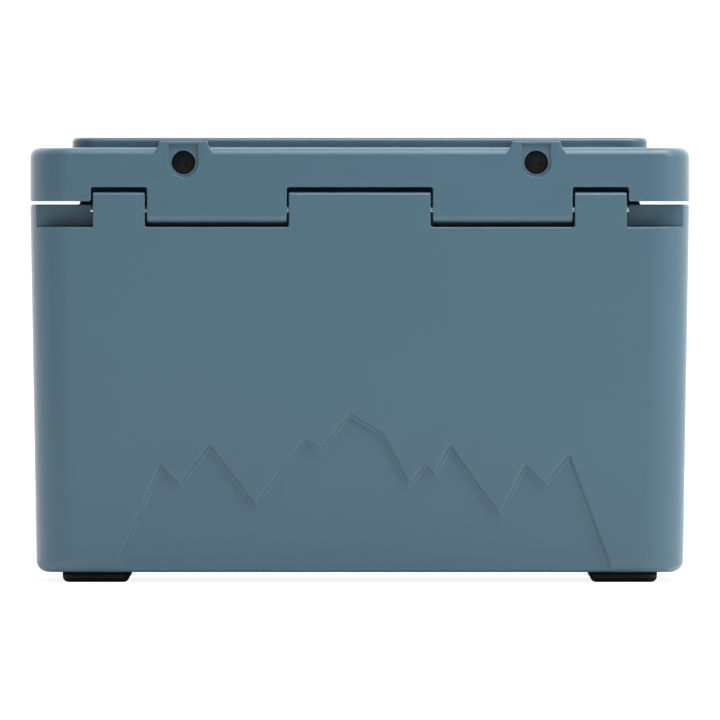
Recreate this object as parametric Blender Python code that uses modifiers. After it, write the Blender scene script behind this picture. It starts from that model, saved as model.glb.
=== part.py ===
"""Hard-sided insulated cooler with a hinged lid, built in metres, +Z up.

The front, with its two latches, faces -Y and the hinge side faces +Y. The origin is on the floor,
midway between the four feet. Left and right are those of a person who stands in front of it.
"""

import math

import bmesh
import bpy
from mathutils import Matrix, Vector

MM = 0.001

# Outer form
LENGTH = 660 * MM
DEPTH = 440 * MM
HEIGHT = 445 * MM
CORNER_RADIUS = 40 * MM
BODY_BOTTOM = 10 * MM
RIM = 378 * MM
LID_UNDERSIDE = 381 * MM
LID_SHOULDER = 434.5 * MM
BODY_DRAFT = math.tan(math.radians(1.0))
SKIN = 4 * MM
GAP = 0.3 * MM
HALF_LENGTH = LENGTH / 2
HALF_DEPTH = DEPTH / 2

# Storage cavity and the seat that the lid seals on
WALL = 56 * MM
CAVITY_FLOOR = 60 * MM
CAVITY_CORNER = 28 * MM
CAVITY_DRAFT = math.tan(math.radians(1.5))
FOAM_SPLIT_Z = CAVITY_FLOOR - 3.5 * MM
FOAM_SPLIT_Y = 150 * MM
SEAT_WIDTH = 6 * MM
SEAT_SLOPE = 3 * MM
SEAT_TOP = RIM + 4 * MM

# Hinge: the body's blocks and the lid's tabs alternate along one rod
HINGE_INSET = 14 * MM
HINGE_Z = 372.4 * MM
HINGE_Y = HALF_DEPTH - HINGE_INSET
KNUCKLE_THICK = 28 * MM
CENTRE_BLOCK_END = 71 * MM
TAB_START = 73 * MM
TAB_END = 213 * MM
END_BLOCK_START = 215 * MM
END_BLOCK_END = 267 * MM
LID_NOTCH_END = 269 * MM
BLOCK_TOP = 390.5 * MM
TAB_BOTTOM = 360 * MM
HINGE_FLOOR = 355.5 * MM
LID_NOTCH_TOP = 395.3 * MM
LID_NOTCH_DEEP = 37.5 * MM
BODY_NOTCH_DEEP = 31 * MM
CORNER_NOTCH_DEEP = 19 * MM
ROD_RADIUS = 3.5 * MM
ROD_HALF = 269.5 * MM

# Lid
PANEL_INSET = 42 * MM
PANEL_INSET_Y = 28 * MM
PANEL_CORNER = 24 * MM
TRAY_DEEP = 2 * MM
TRAY_INSET = 18 * MM
GASKET_CEILING = 386 * MM
GASKET_OUTER = 46 * MM
GASKET_INNER = 57 * MM
GASKET_CHANNEL = 44 * MM
PLUG_INSET = 62 * MM
PLUG_BOTTOM = 370 * MM

# Round holes that the foam goes in by, and the D-shaped recess round each one on the lid
FILL_X = 176.4 * MM
FILL_Z = 420 * MM
FILL_RADIUS = 11.8 * MM
D_RADIUS = 14.75 * MM
D_TOP = 439 * MM
D_DEEP = 3 * MM
BOSS_TOP = 441.4 * MM
BOSS_HALF_TOP = 25 * MM
BOSS_HALF_FOOT = 30 * MM
BODY_FILL_X = 90 * MM

# Mountain ridge pressed into the back: distance from the middle, height above the floor
RIDGE = [
    (-250, 4), (-200, 120), (-180, 100), (-150, 140), (-105, 80), (-55, 145),
    (-40, 135), (-10, 170), (25, 150), (50, 100), (65, 120), (75, 110),
    (90, 140), (140, 70), (165, 120), (185, 100), (210, 130), (257, 4),
]
RIDGE_DEEP = 4 * MM
RIDGE_TOP = 175 * MM
RIDGE_HALF = 262 * MM

# Underside
FOOT_SIZE = 67 * MM
FOOT_X = 264 * MM
FOOT_Y = 163 * MM
FOOT_ROUND = 6 * MM
PAD_HIGH = 1.3 * MM
PADS = [(-112, -68), (-52, 52), (68, 112)]
PAD_HALF_DEEP = 60 * MM

# Carry handles, one in a pocket at each end
POCKET_HALF = 95 * MM
POCKET_LOW = 255 * MM
POCKET_HIGH = 350 * MM
POCKET_BACK = 299 * MM
BAIL_X = 314 * MM
BAIL_Z = 336 * MM
BAIL_DROP = 58 * MM
BAIL_ARM = 80 * MM
BAIL_RADIUS = 5 * MM
BAIL_BEND = 12 * MM
GRIP_RADIUS = 12.5 * MM
GRIP_HALF = 52 * MM
BUSH_END = 107 * MM
BUSH_RADIUS = 8 * MM

# Latches
LATCH_X = 175 * MM
LATCH_PIN_Y = -212.5 * MM
LATCH_PIN_Z = 415 * MM
LATCH_PIN_RADIUS = 3 * MM
LATCH_EYE = 7.2 * MM
LATCH_HALF_THICK = 4.2 * MM
LATCH_HOOK = 9.5 * MM
LATCH_PIN_HALF = 37 * MM
LATCH_HALF = 19 * MM
LATCH_TAB_HALF = 26 * MM
LATCH_POCKET_HALF = 30 * MM
LATCH_POCKET_Y = -192.5 * MM
LATCH_POCKET_TOP = 428 * MM
LATCH_POCKET_LOW = 282 * MM
KEEPER_SCREW_Z = 360 * MM
KEEPER_SCREW_X = 10 * MM

# Drain at the right-hand end
DRAIN_Z = 67 * MM
DRAIN_RECESS_RADIUS = 33 * MM
DRAIN_RECESS_X = 303 * MM
DRAIN_TUBE_RADIUS = 12 * MM
DRAIN_BORE = 9 * MM
DRAIN_THREAD = 10.5 * MM
SUMP_FLOOR = 50 * MM
SUMP_WALL_X = 268.5 * MM
SUMP_START_X = 236 * MM
SUMP_HALF = 22 * MM
SUMP_TOP = 86 * MM


def clear_scene():
    for obj in list(bpy.data.objects):
        bpy.data.objects.remove(obj)


def make_material(name, colour, roughness, metallic=0.0):
    material = bpy.data.materials.new(name)
    material.use_nodes = True
    shader = material.node_tree.nodes["Principled BSDF"]
    shader.inputs["Base Color"].default_value = (*colour, 1.0)
    shader.inputs["Roughness"].default_value = roughness
    shader.inputs["Metallic"].default_value = metallic
    return material


def object_from(bm, name, home):
    """Closes the bmesh into a new object of the collection home."""
    bmesh.ops.recalc_face_normals(bm, faces=bm.faces)
    mesh = bpy.data.meshes.new(name)
    bm.to_mesh(mesh)
    bm.free()
    obj = bpy.data.objects.new(name, mesh)
    home.objects.link(obj)
    return obj


def level_edges(bm, height):
    return [e for e in bm.edges if all(abs(v.co.z - height) < 1e-6 for v in e.verts)]


def block(low, high, corner=0.0, corner_steps=4, draft=0.0, foot=0.0, crown=0.0, edge_steps=2):
    """Box between two corners. Its upright edges are rounded to corner, its sides lean in by draft
    towards the bottom, and foot and crown round its bottom and top edges."""
    bm = bmesh.new()
    bmesh.ops.create_cube(bm, size=1.0)
    low, high = Vector(low), Vector(high)
    middle, size = (low + high) / 2, high - low
    lean = draft * size.z
    for v in bm.verts:
        at_bottom = v.co.z < 0
        v.co = Vector(middle[i] + v.co[i] * size[i] for i in range(3))
        if at_bottom:
            v.co.x -= math.copysign(lean, v.co.x - middle.x)
            v.co.y -= math.copysign(lean, v.co.y - middle.y)
    if corner:
        upright = [e for e in bm.edges if abs(e.verts[0].co.z - e.verts[1].co.z) > size.z / 2]
        bmesh.ops.bevel(bm, geom=upright, offset=corner, segments=corner_steps,
                        profile=0.5, affect="EDGES", clamp_overlap=True)
    for height, radius in ((low.z, foot), (high.z, crown)):
        if radius:
            bmesh.ops.bevel(bm, geom=level_edges(bm, height), offset=radius, segments=edge_steps,
                            profile=0.5, affect="EDGES", clamp_overlap=True)
    return bm


def centred_block(half_x, half_y, low_z, high_z, **rounding):
    return block((-half_x, -half_y, low_z), (half_x, half_y, high_z), **rounding)


def cylinder(start, end, radius, sides=12):
    """Round bar between two points."""
    start, end = Vector(start), Vector(end)
    along = end - start
    bm = bmesh.new()
    turn = along.to_track_quat("Z", "X").to_matrix().to_4x4()
    bmesh.ops.create_cone(bm, cap_ends=True, segments=sides, radius1=radius, radius2=radius,
                          depth=along.length, matrix=Matrix.Translation((start + end) / 2) @ turn)
    return bm


def apply_modifiers(obj):
    graph = bpy.context.evaluated_depsgraph_get()
    obj.data = bpy.data.meshes.new_from_object(obj.evaluated_get(graph))
    obj.modifiers.clear()


def combine(obj, bm, operation):
    """Cuts the bmesh from obj or joins it on, and drops it."""
    tool = object_from(bm, "tool", TOOLS)
    tool.hide_render = True
    tool.display_type = "WIRE"
    modifier = obj.modifiers.new(operation, "BOOLEAN")
    modifier.operation = operation
    modifier.object = tool
    modifier.solver = "EXACT"
    apply_modifiers(obj)
    bpy.data.objects.remove(tool)


def cut(obj, bm):
    combine(obj, bm, "DIFFERENCE")


def join(obj, bm):
    combine(obj, bm, "UNION")


def extruded(points, low_x, high_x):
    """Flat outline in the Y-Z plane, given thickness from low_x to high_x."""
    bm = bmesh.new()
    face = bm.faces.new([bm.verts.new((low_x, y, z)) for y, z in points])
    side = bmesh.ops.extrude_face_region(bm, geom=[face])["geom"]
    moved = [g for g in side if isinstance(g, bmesh.types.BMVert)]
    bmesh.ops.translate(bm, verts=moved, vec=(high_x - low_x, 0, 0))
    return bm


def turned(name, profile, steps, closed=False):
    """Profile of (radius, height) points, listed down its outer side, turned about +Z."""
    mesh = bpy.data.meshes.new(name)
    count = len(profile)
    edges = [(i, i + 1) for i in range(count - 1)] + ([(count - 1, 0)] if closed else [])
    mesh.from_pydata([(r, 0, z) for r, z in profile], edges, [])
    obj = bpy.data.objects.new(name, mesh)
    PARTS.objects.link(obj)
    screw = obj.modifiers.new("turn", "SCREW")
    screw.steps = screw.render_steps = steps
    screw.use_merge_vertices = True
    screw.merge_threshold = 0.00001
    return obj


def ring_profile(inner, outer, low, high):
    return [(outer, high), (outer, low), (inner, low), (inner, high)]


def aim(obj, point, direction):
    """Puts a turned piece's origin at point and its +Z along direction."""
    obj.location = point
    obj.rotation_mode = "QUATERNION"
    obj.rotation_quaternion = Vector(direction).to_track_quat("Z", "X")


def sides():
    """The two ends of the cooler: name and sign along X."""
    return (("left", -1), ("right", 1))


# ---------------------------------------------------------------- body

def ridge_cutter():
    """Plate with the ridge's outline, laid along the leaning back wall and sunk into it."""
    curve = bpy.data.curves.new("ridge", "CURVE")
    curve.dimensions = "2D"
    curve.fill_mode = "BOTH"
    curve.extrude = RIDGE_DEEP
    spline = curve.splines.new("POLY")
    spline.points.add(len(RIDGE) - 1)
    for point, (across, up) in zip(spline.points, RIDGE):
        point.co = (across * MM, up * MM, 0, 1)
    spline.use_cyclic_u = True
    guide = bpy.data.objects.new("ridge", curve)
    TOOLS.objects.link(guide)
    wall_at_floor = HALF_DEPTH - RIM * BODY_DRAFT
    lean = math.atan(BODY_DRAFT)
    guide.matrix_world = (Matrix.Translation((0, wall_at_floor, 0))
                          @ Matrix.Rotation(math.pi / 2 - lean, 4, "X")
                          @ Matrix.Diagonal((-1, 1, 1, 1)))
    bpy.context.view_layer.update()
    mesh = bpy.data.meshes.new_from_object(
        guide.evaluated_get(bpy.context.evaluated_depsgraph_get()))
    bm = bmesh.new()
    bm.from_mesh(mesh)
    bmesh.ops.remove_doubles(bm, verts=bm.verts, dist=0.00001)
    bmesh.ops.transform(bm, matrix=guide.matrix_world, verts=bm.verts)
    bpy.data.objects.remove(guide)
    return bm


def body_cavity(inset):
    lift = CAVITY_DRAFT * 20 * MM
    return centred_block(HALF_LENGTH - WALL + inset + lift, HALF_DEPTH - WALL + inset + lift,
                         CAVITY_FLOOR - inset, RIM + 20 * MM, corner=CAVITY_CORNER + inset,
                         corner_steps=4, draft=CAVITY_DRAFT, foot=6 * MM)


def cut_body_fittings(obj, inset):
    """Pockets, sump, drain and screw holes, each made larger by inset all round."""
    for _, side in sides():
        ends = sorted((side * (POCKET_BACK - inset), side * 345 * MM))
        cut(obj, block((ends[0], -POCKET_HALF - inset, POCKET_LOW - inset),
                       (ends[1], POCKET_HALF + inset, POCKET_HIGH + inset)))
        for y in (-1, 1):
            cut(obj, cylinder((side * BAIL_X, y * (POCKET_HALF - 5 * MM), BAIL_Z),
                              (side * BAIL_X, y * (BUSH_END + 1 * MM + inset), BAIL_Z),
                              BUSH_RADIUS + GAP + inset))
        middle = side * LATCH_X
        half = LATCH_POCKET_HALF + inset
        cut(obj, block((middle - half, -HALF_DEPTH - 10 * MM, LATCH_POCKET_LOW - inset),
                       (middle + half, LATCH_POCKET_Y + inset, RIM + 20 * MM)))
        for x in (-KEEPER_SCREW_X, KEEPER_SCREW_X):
            cut(obj, cylinder((middle + x, LATCH_POCKET_Y - 4 * MM, KEEPER_SCREW_Z),
                              (middle + x, LATCH_POCKET_Y + 11 * MM + inset / 2, KEEPER_SCREW_Z),
                              2.3 * MM + inset / 2, sides=8))
        for y in (-FOOT_Y, FOOT_Y):
            cut(obj, cylinder((side * FOOT_X, y, BODY_BOTTOM - 4 * MM),
                              (side * FOOT_X, y, 23 * MM + inset / 2), 2.6 * MM + inset / 2, sides=8))
    cut(obj, cylinder((DRAIN_RECESS_X - inset, 0, DRAIN_Z), (345 * MM, 0, DRAIN_Z),
                      DRAIN_RECESS_RADIUS + inset, sides=20))
    cut(obj, block((SUMP_START_X - inset, -SUMP_HALF - inset, SUMP_FLOOR - inset),
                   (SUMP_WALL_X + inset, SUMP_HALF + inset, SUMP_TOP + inset)))
    cut(obj, cylinder((SUMP_WALL_X - 10 * MM, 0, DRAIN_Z), (DRAIN_RECESS_X + 5 * MM, 0, DRAIN_Z),
                      DRAIN_TUBE_RADIUS + GAP + inset, sides=16))


def body_form(name, inset):
    """The body's shape with every face moved in by inset. With an inset it is the hollow between
    the skins, which leaves the hinge blocks, the seat and the ridge solid."""
    obj = object_from(
        centred_block(HALF_LENGTH - inset, HALF_DEPTH - inset, BODY_BOTTOM + inset, RIM - inset,
                      corner=CORNER_RADIUS - inset, corner_steps=5, draft=BODY_DRAFT,
                      foot=12 * MM - inset), name, PARTS)
    if inset:
        behind = HALF_DEPTH + 10 * MM
        cut(obj, block((-RIDGE_HALF, HALF_DEPTH - 6 * MM - RIDGE_DEEP - inset, 0),
                       (RIDGE_HALF, behind, RIDGE_TOP + inset)))
        cut(obj, block((-HALF_LENGTH - inset, HALF_DEPTH - BODY_NOTCH_DEEP - inset, HINGE_FLOOR - inset),
                       (HALF_LENGTH + inset, behind, RIM + inset)))
        cut(obj, body_cavity(inset))
    else:
        join(obj, centred_block(HALF_LENGTH - WALL + SEAT_WIDTH + SEAT_SLOPE,
                                HALF_DEPTH - WALL + SEAT_WIDTH + SEAT_SLOPE,
                                RIM - 4 * MM, SEAT_TOP, corner=CAVITY_CORNER + SEAT_WIDTH,
                                crown=SEAT_SLOPE, edge_steps=1))
        add_hinge_blocks(obj)
        cut(obj, ridge_cutter())
        cut(obj, body_cavity(0))
        for start, end in PADS:
            join(obj, block((start * MM, -PAD_HALF_DEEP, BODY_BOTTOM - PAD_HIGH),
                            (end * MM, PAD_HALF_DEEP, BODY_BOTTOM + 2 * MM)))
    cut_body_fittings(obj, inset)
    return obj


def add_hinge_blocks(obj):
    """Bar along the back rim, cut into a middle block and two end blocks, with the rod's bore."""
    behind = HALF_DEPTH + 10 * MM
    above = BLOCK_TOP + 10 * MM
    bar = extruded(rounded_bar(HALF_DEPTH - KNUCKLE_THICK, HALF_DEPTH, RIM - 15 * MM, BLOCK_TOP,
                               5 * MM, top=True), -END_BLOCK_END, END_BLOCK_END)
    join(obj, bar)
    for _, side in sides():
        tab = sorted((side * CENTRE_BLOCK_END, side * END_BLOCK_START))
        cut(obj, block((tab[0], HALF_DEPTH - BODY_NOTCH_DEEP, HINGE_FLOOR), (tab[1], behind, above)))
        corner = sorted((side * END_BLOCK_END, side * (HALF_LENGTH + 10 * MM)))
        cut(obj, block((corner[0], HALF_DEPTH - CORNER_NOTCH_DEEP, HINGE_FLOOR),
                       (corner[1], behind, above)))
    cut(obj, cylinder((-END_BLOCK_END - 5 * MM, HINGE_Y, HINGE_Z), (END_BLOCK_END + 5 * MM, HINGE_Y, HINGE_Z),
                      ROD_RADIUS + GAP, sides=12))


def rounded_bar(low_y, high_y, low_z, high_z, radius, top, steps=3):
    """Outline of a bar whose two top, or two bottom, edges are rounded."""
    outline = []
    edge = high_z if top else low_z
    inner = edge - radius if top else edge + radius
    for centre_y, start in ((high_y - radius, 0), (low_y + radius, math.pi / 2)):
        for i in range(steps + 1):
            angle = start + math.pi / 2 * i / steps
            rise = radius * math.sin(angle)
            outline.append((centre_y + radius * math.cos(angle), inner + (rise if top else -rise)))
    far = low_z if top else high_z
    return outline + [(low_y, far), (high_y, far)]


def build_body():
    body_shell = body_form("body_shell", 0)
    hollow = body_form("hollow", SKIN)
    body_foam = body_form("body_foam", SKIN + GAP)
    bm = bmesh.new()
    bm.from_mesh(hollow.data)
    bpy.data.objects.remove(hollow)
    cut(body_shell, bm)
    for side in (-1, 1):
        x = side * BODY_FILL_X
        cut(body_shell, cylinder((x, 0, 0), (x, 0, 20 * MM), FILL_RADIUS, sides=16))
        cut(body_foam, cylinder((x, 0, 0), (x, 0, 19 * MM), FILL_RADIUS + GAP, sides=16))
    finish(body_shell, "shell_plastic")
    split_foam(body_foam)


def split_foam(foam):
    """Parts the body's foam into a floor slab and four walls, with a hairline gap between them."""
    far = HALF_LENGTH + 10 * MM
    wall_foot = FOAM_SPLIT_Z + GAP
    end_y = FOAM_SPLIT_Y - GAP
    regions = {
        "floor": ((-far, -far, 0), (far, far, FOAM_SPLIT_Z)),
        "front": ((-far, -far, wall_foot), (far, -FOAM_SPLIT_Y, far + RIM)),
        "rear": ((-far, FOAM_SPLIT_Y, wall_foot), (far, far, far + RIM)),
        "left": ((-far, -end_y, wall_foot), (0, end_y, far + RIM)),
        "right": ((0, -end_y, wall_foot), (far, end_y, far + RIM)),
    }
    for name, (low, high) in regions.items():
        bm = bmesh.new()
        bm.from_mesh(foam.data)
        piece = object_from(bm, f"body_foam_{name}", PARTS)
        combine(piece, block(low, high), "INTERSECT")
        finish(piece, "foam")
    bpy.data.objects.remove(foam)


# ---------------------------------------------------------------- lid

def lid_form(name, inset):
    """The lid's shape with every face moved in by inset. With an inset it is the hollow between
    the skins, which leaves the hinge tabs and the bosses solid."""
    obj = object_from(
        centred_block(HALF_LENGTH - inset, HALF_DEPTH - inset, LID_UNDERSIDE + inset,
                      LID_SHOULDER - inset, corner=CORNER_RADIUS - inset, corner_steps=5,
                      crown=9 * MM - inset), name, PARTS)
    join(obj, centred_block(HALF_LENGTH - PANEL_INSET - inset, HALF_DEPTH - PANEL_INSET_Y - inset,
                            LID_SHOULDER - 12 * MM, HEIGHT - inset, corner=PANEL_CORNER - inset,
                            crown=0 if inset else 3 * MM, edge_steps=1))
    behind = HALF_DEPTH + 10 * MM
    if inset:
        cut(obj, block((-LID_NOTCH_END - inset, HALF_DEPTH - LID_NOTCH_DEEP - inset, 340 * MM),
                       (LID_NOTCH_END + inset, behind, LID_NOTCH_TOP + inset)))
    else:
        add_bosses(obj)
        add_hinge_tabs(obj)
    cut(obj, centred_block(HALF_LENGTH - GASKET_CHANNEL + inset, HALF_DEPTH - GASKET_CHANNEL + inset,
                           LID_UNDERSIDE - 10 * MM, GASKET_CEILING + inset, corner=34 * MM + inset))
    join(obj, centred_block(HALF_LENGTH - PLUG_INSET - inset, HALF_DEPTH - PLUG_INSET - inset,
                            PLUG_BOTTOM + inset, GASKET_CEILING + 12 * MM, corner=24 * MM - inset,
                            foot=0 if inset else 5 * MM, edge_steps=1))
    cut(obj, centred_block(HALF_LENGTH - PANEL_INSET - TRAY_INSET + inset,
                           HALF_DEPTH - PANEL_INSET_Y - TRAY_INSET + inset,
                           HEIGHT - TRAY_DEEP - inset, HEIGHT + 10 * MM, corner=16 * MM))
    for _, side in sides():
        middle = side * LATCH_X
        half = LATCH_POCKET_HALF + inset
        cut(obj, block((middle - half, -HALF_DEPTH - 10 * MM, LID_UNDERSIDE - 30 * MM),
                       (middle + half, LATCH_POCKET_Y + inset, LATCH_POCKET_TOP + inset)))
        reach = LATCH_PIN_HALF + 1 * MM + inset
        cut(obj, cylinder((middle - reach, LATCH_PIN_Y, LATCH_PIN_Z),
                          (middle + reach, LATCH_PIN_Y, LATCH_PIN_Z),
                          LATCH_PIN_RADIUS + GAP + inset, sides=10))
        fill = side * FILL_X
        floor = HALF_DEPTH - D_DEEP - inset
        cut(obj, cylinder((fill, floor, FILL_Z), (fill, behind, FILL_Z), D_RADIUS + inset, sides=20))
        if not inset:
            cut(obj, block((fill - D_RADIUS, floor, FILL_Z), (fill + D_RADIUS, behind, D_TOP)))
    return obj


def add_bosses(obj):
    """Raised blocks on the lid's back edge that hold the D-shaped recesses."""
    for _, side in sides():
        bm = block((side * FILL_X - BOSS_HALF_FOOT, HALF_DEPTH - 45 * MM, FILL_Z - 5 * MM),
                   (side * FILL_X + BOSS_HALF_FOOT, HALF_DEPTH, BOSS_TOP))
        for v in bm.verts:
            if v.co.z > FILL_Z:
                offset = v.co.x - side * FILL_X
                v.co.x -= math.copysign(BOSS_HALF_FOOT - BOSS_HALF_TOP, offset)
                v.co.y -= 0.5 * MM if v.co.y > HALF_DEPTH - 5 * MM else 0
            elif v.co.y > HALF_DEPTH - 5 * MM:
                v.co.y -= 0.5 * MM
        join(obj, bm)


def add_hinge_tabs(obj):
    """Rail along the back of the lid, notched for the body's blocks, with the rod's bore."""
    rail = extruded(rounded_bar(HALF_DEPTH - KNUCKLE_THICK, HALF_DEPTH, TAB_BOTTOM,
                                LID_UNDERSIDE + 5 * MM, 6.5 * MM, top=False), -250 * MM, 250 * MM)
    join(obj, rail)
    behind = HALF_DEPTH + 10 * MM
    front = HALF_DEPTH - LID_NOTCH_DEEP
    cut(obj, block((-TAB_START, front, 340 * MM), (TAB_START, behind, LID_NOTCH_TOP)))
    for _, side in sides():
        ends = sorted((side * TAB_END, side * LID_NOTCH_END))
        cut(obj, block((ends[0], front, 340 * MM), (ends[1], behind, LID_NOTCH_TOP)))
    cut(obj, cylinder((-TAB_END - 5 * MM, HINGE_Y, HINGE_Z), (TAB_END + 5 * MM, HINGE_Y, HINGE_Z),
                      ROD_RADIUS + GAP, sides=12))


def build_lid():
    lid_shell = lid_form("lid_shell", 0)
    hollow = lid_form("hollow", SKIN)
    lid_foam = lid_form("lid_foam", SKIN + GAP)
    bm = bmesh.new()
    bm.from_mesh(hollow.data)
    bpy.data.objects.remove(hollow)
    cut(lid_shell, bm)
    for name, side in sides():
        x = side * FILL_X
        hole = (x, HALF_DEPTH - 15 * MM, FILL_Z), (x, HALF_DEPTH + 5 * MM, FILL_Z)
        cut(lid_shell, cylinder(*hole, FILL_RADIUS, sides=20))
        cut(lid_foam, cylinder(*hole, FILL_RADIUS + GAP, sides=20))
        plug = fill_plug(f"lid_fill_plug_{name}")
        aim(plug, (x, HALF_DEPTH - 6 * MM, FILL_Z), (0, 1, 0))
    finish(lid_shell, "shell_plastic")
    finish(lid_foam, "foam")
    gasket = object_from(gasket_ring(), "lid_gasket", PARTS)
    finish(gasket, "rubber")


def gasket_ring():
    low, high = SEAT_TOP + GAP, GASKET_CEILING - GAP
    ring = object_from(centred_block(HALF_LENGTH - GASKET_OUTER, HALF_DEPTH - GASKET_OUTER,
                                     low, high, corner=32 * MM), "ring", TOOLS)
    cut(ring, centred_block(HALF_LENGTH - GASKET_INNER, HALF_DEPTH - GASKET_INNER,
                            low - 5 * MM, high + 5 * MM, corner=22 * MM))
    bm = bmesh.new()
    bm.from_mesh(ring.data)
    bpy.data.objects.remove(ring)
    return bm


def fill_plug(name):
    """Push-in plug for a foam hole. Its face is at height zero and its stem goes down."""
    radius = FILL_RADIUS - GAP
    obj = turned(name, [(0, 0), (radius - 1 * MM, 0), (radius, -1 * MM), (radius, -5 * MM),
                        (radius - 2 * MM, -7 * MM), (0, -7 * MM)], 20)
    return finish(obj, "plug_plastic")


# ---------------------------------------------------------------- fittings

def build_feet():
    for end, y in (("front", -FOOT_Y), ("rear", FOOT_Y)):
        for name, side in sides():
            half = FOOT_SIZE / 2
            foot = object_from(block((-half, -half, 0), (half, half, BODY_BOTTOM - GAP), corner=10 * MM,
                                     corner_steps=3, foot=FOOT_ROUND), f"foot_{end}_{name}", PARTS)
            cut(foot, cylinder((0, 0, -5 * MM), (0, 0, 6 * MM), 7 * MM, sides=12))
            cut(foot, cylinder((0, 0, 1 * MM), (0, 0, 20 * MM), 2.8 * MM, sides=8))
            foot.location = (side * FOOT_X, y, 0)
            finish(foot, "rubber")
            screw = turned(f"foot_screw_{end}_{name}", screw_profile(5.5 * MM, 2.3 * MM, 16 * MM), 12)
            aim(screw, (side * FOOT_X, y, 5.7 * MM), (0, 0, 1))
            finish(screw, "steel")
    for name, side in sides():
        plug = fill_plug(f"body_fill_plug_{name}")
        aim(plug, (side * BODY_FILL_X, 0, BODY_BOTTOM - 1 * MM), (0, 0, -1))


def screw_profile(head, shank, length):
    """Pan head below height zero, shank above it."""
    return [(0, length), (shank - 0.6 * MM, length), (shank, length - 1 * MM), (shank, 0), (head, 0),
            (head, -1.6 * MM), (head - 1.2 * MM, -2.7 * MM), (0, -2.7 * MM)]


def build_hinge_rod():
    rod = turned("hinge_rod", [(0, ROD_HALF), (ROD_RADIUS - 0.8 * MM, ROD_HALF),
                               (ROD_RADIUS, ROD_HALF - 0.8 * MM), (ROD_RADIUS, -ROD_HALF + 0.8 * MM),
                               (ROD_RADIUS - 0.8 * MM, -ROD_HALF), (0, -ROD_HALF)], 12)
    aim(rod, (0, HINGE_Y, HINGE_Z), (1, 0, 0))
    finish(rod, "steel")


def bail_route():
    """Half of the bar's centre line, from the pivot end to the middle of the grip."""
    route = [(BUSH_END - 1 * MM, 0)]
    bends = ((BAIL_ARM, 0, 90), (BAIL_ARM, -BAIL_DROP, 0))
    for y, z, start in bends:
        centre_y = y + BAIL_BEND if z == 0 else y - BAIL_BEND
        centre_z = z - BAIL_BEND if z == 0 else z + BAIL_BEND
        for i in range(5):
            step = math.radians(22.5 * i)
            angle = math.radians(start) + (step if z == 0 else -step)
            route.append((centre_y + BAIL_BEND * math.cos(angle), centre_z + BAIL_BEND * math.sin(angle)))
    return route


def build_handles():
    half = bail_route()
    route = half + [(-y, z) for y, z in reversed(half)]
    for name, side in sides():
        curve = bpy.data.curves.new(f"bail_{name}", "CURVE")
        curve.dimensions = "3D"
        curve.bevel_depth = BAIL_RADIUS
        curve.bevel_resolution = 2
        curve.use_fill_caps = True
        spline = curve.splines.new("POLY")
        spline.points.add(len(route) - 1)
        for point, (y, z) in zip(spline.points, route):
            point.co = (0, y, z, 1)
        bail = bpy.data.objects.new(f"handle_bail_{name}", curve)
        PARTS.objects.link(bail)
        bail.location = (side * BAIL_X, 0, BAIL_Z)
        finish(bail, "aluminium")
        grip = turned(f"handle_grip_{name}",
                      [(GRIP_RADIUS - 2 * MM, GRIP_HALF), (GRIP_RADIUS, GRIP_HALF - 2 * MM),
                       (GRIP_RADIUS, -GRIP_HALF + 2 * MM), (GRIP_RADIUS - 2 * MM, -GRIP_HALF),
                       (BAIL_RADIUS + GAP, -GRIP_HALF), (BAIL_RADIUS + GAP, GRIP_HALF)], 16, closed=True)
        aim(grip, (side * BAIL_X, 0, BAIL_Z - BAIL_DROP), (0, 1, 0))
        finish(grip, "rubber")
        for place, y in (("front", -1), ("rear", 1)):
            start = POCKET_HALF - 2 * MM
            bush = turned(f"handle_bush_{place}_{name}",
                          [(BAIL_RADIUS + GAP, BUSH_END), (BUSH_RADIUS, BUSH_END),
                           (BUSH_RADIUS, POCKET_HALF - GAP), (BUSH_RADIUS + 2.5 * MM, POCKET_HALF - GAP),
                           (BUSH_RADIUS + 2.5 * MM, start), (BAIL_RADIUS + GAP, start)], 12, closed=True)
            aim(bush, (side * BAIL_X, 0, BAIL_Z), (0, y, 0))
            finish(bush, "plug_plastic")


def latch_outline():
    """Side view of the rubber latch: the eye round its pin, the strap, and the hook on its back.
    It hangs just in front of its keeper, and hooks under it when it is pushed in."""
    front = LATCH_PIN_Y - LATCH_HALF_THICK
    back = LATCH_PIN_Y + LATCH_HALF_THICK
    hook = LATCH_PIN_Y + LATCH_HOOK
    outline = []
    for i in range(13):
        angle = math.radians(-54 + 24 * i)
        outline.append((LATCH_PIN_Y + LATCH_EYE * math.cos(angle),
                        LATCH_PIN_Z + LATCH_EYE * math.sin(angle)))
    low = LATCH_PIN_Z - 112 * MM
    return outline + [(front, LATCH_PIN_Z - 9 * MM), (front, low), (back, low),
                      (back, LATCH_PIN_Z - 84 * MM), (hook, LATCH_PIN_Z - 79 * MM),
                      (hook, LATCH_PIN_Z - 71 * MM), (hook - 2 * MM, LATCH_PIN_Z - 69 * MM),
                      (back, LATCH_PIN_Z - 69 * MM), (back, LATCH_PIN_Z - 9 * MM)]


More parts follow.
